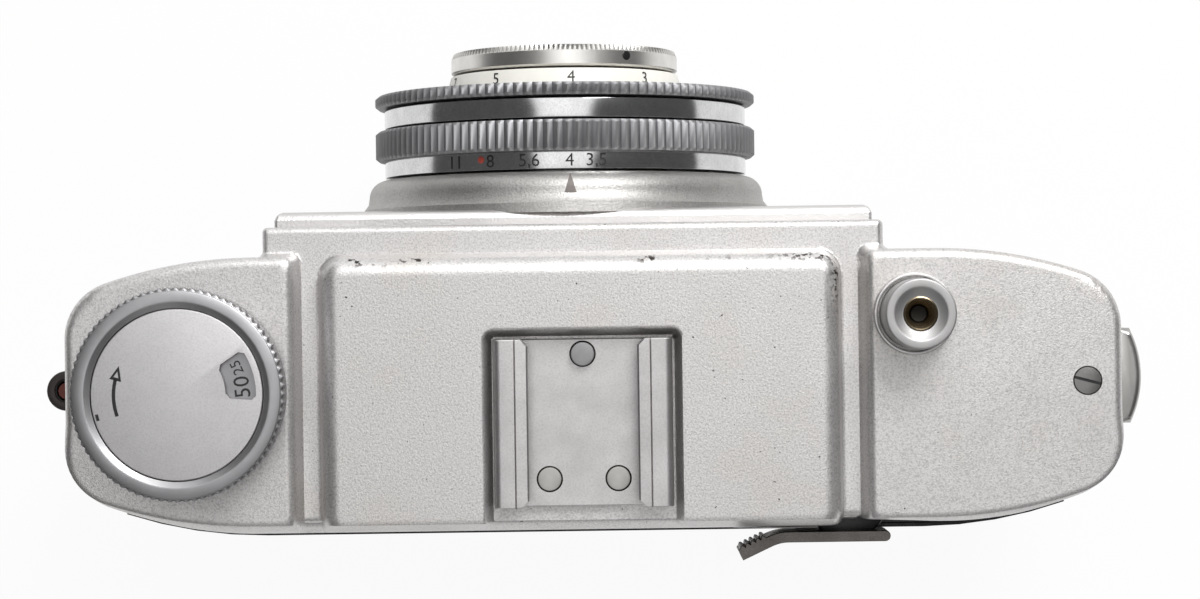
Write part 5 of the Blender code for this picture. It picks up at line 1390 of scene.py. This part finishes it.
def back_latch():
    """The latch: a bulged block with its outer edges rounded over."""
    low, high = box_mm("back_latch")
    half = (high.y - low.y) / 2
    bulge = high.x - low.x - LATCH_LIP
    radius = (half**2 + bulge**2) / (2 * bulge)
    turn = math.asin(half / radius)
    outline = arc_points((low.x + radius, 0), radius, math.pi - turn, math.pi + turn, ARC_STEPS)
    outline = [(high.x, half)] + outline + [(high.x, -half)]
    angles = np.linspace(0, math.pi / 2, 6)
    steps = [(LATCH_EDGE * (1 - math.sin(a)), LATCH_EDGE * (1 - math.cos(a))) for a in angles]
    levels = [(low.z + rise, inset) for rise, inset in reversed(steps)]
    levels += [(high.z - rise, inset) for rise, inset in steps]
    points, faces = eased_prism(outline, levels)
    add_mesh("latch_bulged", points, faces, M_LATCH, "back_latch", "back_latch", slot="steel")


back_latch()
hinge_sleeves()


# Frames round the finder's two openings

FRAME_CORNER = 1.0
FRAME_WIDTH = 0.8
FRAME_EASE = 0.2
FINDER_HEIGHTS = (58.0, 63.8)


def finder_frame(name, left, right, outer, inner):
    """A small frame let into a wall, between two Y places, with its edges eased."""
    bottom, top = FINDER_HEIGHTS
    eased = outer + math.copysign(FRAME_EASE, inner - outer)
    loops = [(0, inner), (0, eased), (FRAME_EASE, outer)]
    loops += [(FRAME_WIDTH - inset, along) for inset, along in reversed(loops)]
    corners = [(right, top, -1, -1), (left, top, 1, -1), (left, bottom, 1, 1), (right, bottom, -1, 1)]
    points = []
    for inset, along in loops:
        for turn, (x, z, side_x, side_z) in enumerate(corners):
            centre = (x + side_x * FRAME_CORNER, z + side_z * FRAME_CORNER)
            start = turn * math.pi / 2
            arc = arc_points(centre, FRAME_CORNER - inset, start, start + math.pi / 2, 5)
            points += [(u, along, v) for u, v in arc]
    faces = strips(len(loops), len(points) // len(loops), closed=True)
    add_mesh(name, points, faces, M_BLACK, "root", slot="black_paint")


finder_frame("eyepiece_frame", 15.9, 24.1, HALF_DEPTH + 1.2, HALF_DEPTH - 0.2)
finder_frame("window_frame", 12.4, 27.6, HOUSING_LOW.y + 0.05, HOUSING_LOW.y + 1.0)


# Nodes whose CAD shape is right

NODE_WELD = 1e-6
SOFT_ANGLE = math.radians(40)


def dress(material, *nodes, edge=0.0, segments=3):
    """Give CAD nodes a finish, and softer edges of this width in millimetres where they show."""
    for name in nodes:
        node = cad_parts[name]
        node.data.materials.clear()
        node.data.materials.append(material)
        weld = node.modifiers.new("weld", "WELD")
        weld.merge_threshold = NODE_WELD
        if edge:
            soften = node.modifiers.new("soften", "BEVEL")
            soften.width = edge * MM
            soften.segments = segments
            soften.limit_method = "ANGLE"
            soften.angle_limit = SOFT_ANGLE


dress(M_BASE, "base_cover", edge=0.5)
dress(M_BASE, "front_plate", edge=0.35)
dress(M_NICKEL, "base_screw_left", "base_screw_right", "rewind_release", edge=0.12, segments=2)
dress(M_NICKEL, "latch_plate", edge=0.3)
dress(M_STEEL, "tripod_bush", "lever_stud", "sprocket", "rewind_shaft")
dress(M_STEEL, "platen_spring_left", "platen_spring_right")
dress(M_BRASS, "wind_gear")
dress(M_COPPER, "hinge_pin")
dress(M_CASTING, "body_casting", edge=0.15, segments=2)
dress(M_DOOR, "back_door", edge=0.15, segments=2)
dress(M_BLACK, "pressure_plate", "take_up_spool", "rear_lens_cell", "finder_tube", edge=0.1, segments=2)
dress(M_LEATHER, "front_covering_left", "front_covering_right", "back_covering")
dress(M_LENS, "rear_lens")
dress(M_WINDOW, "finder_window", "finder_eyepiece")
dress(M_CREAM, "frame_counter")
dress(M_GUN, *(f"aperture_blade_{i}" for i in range(1, 6)), *(f"shutter_blade_{i}" for i in range(1, 4)))
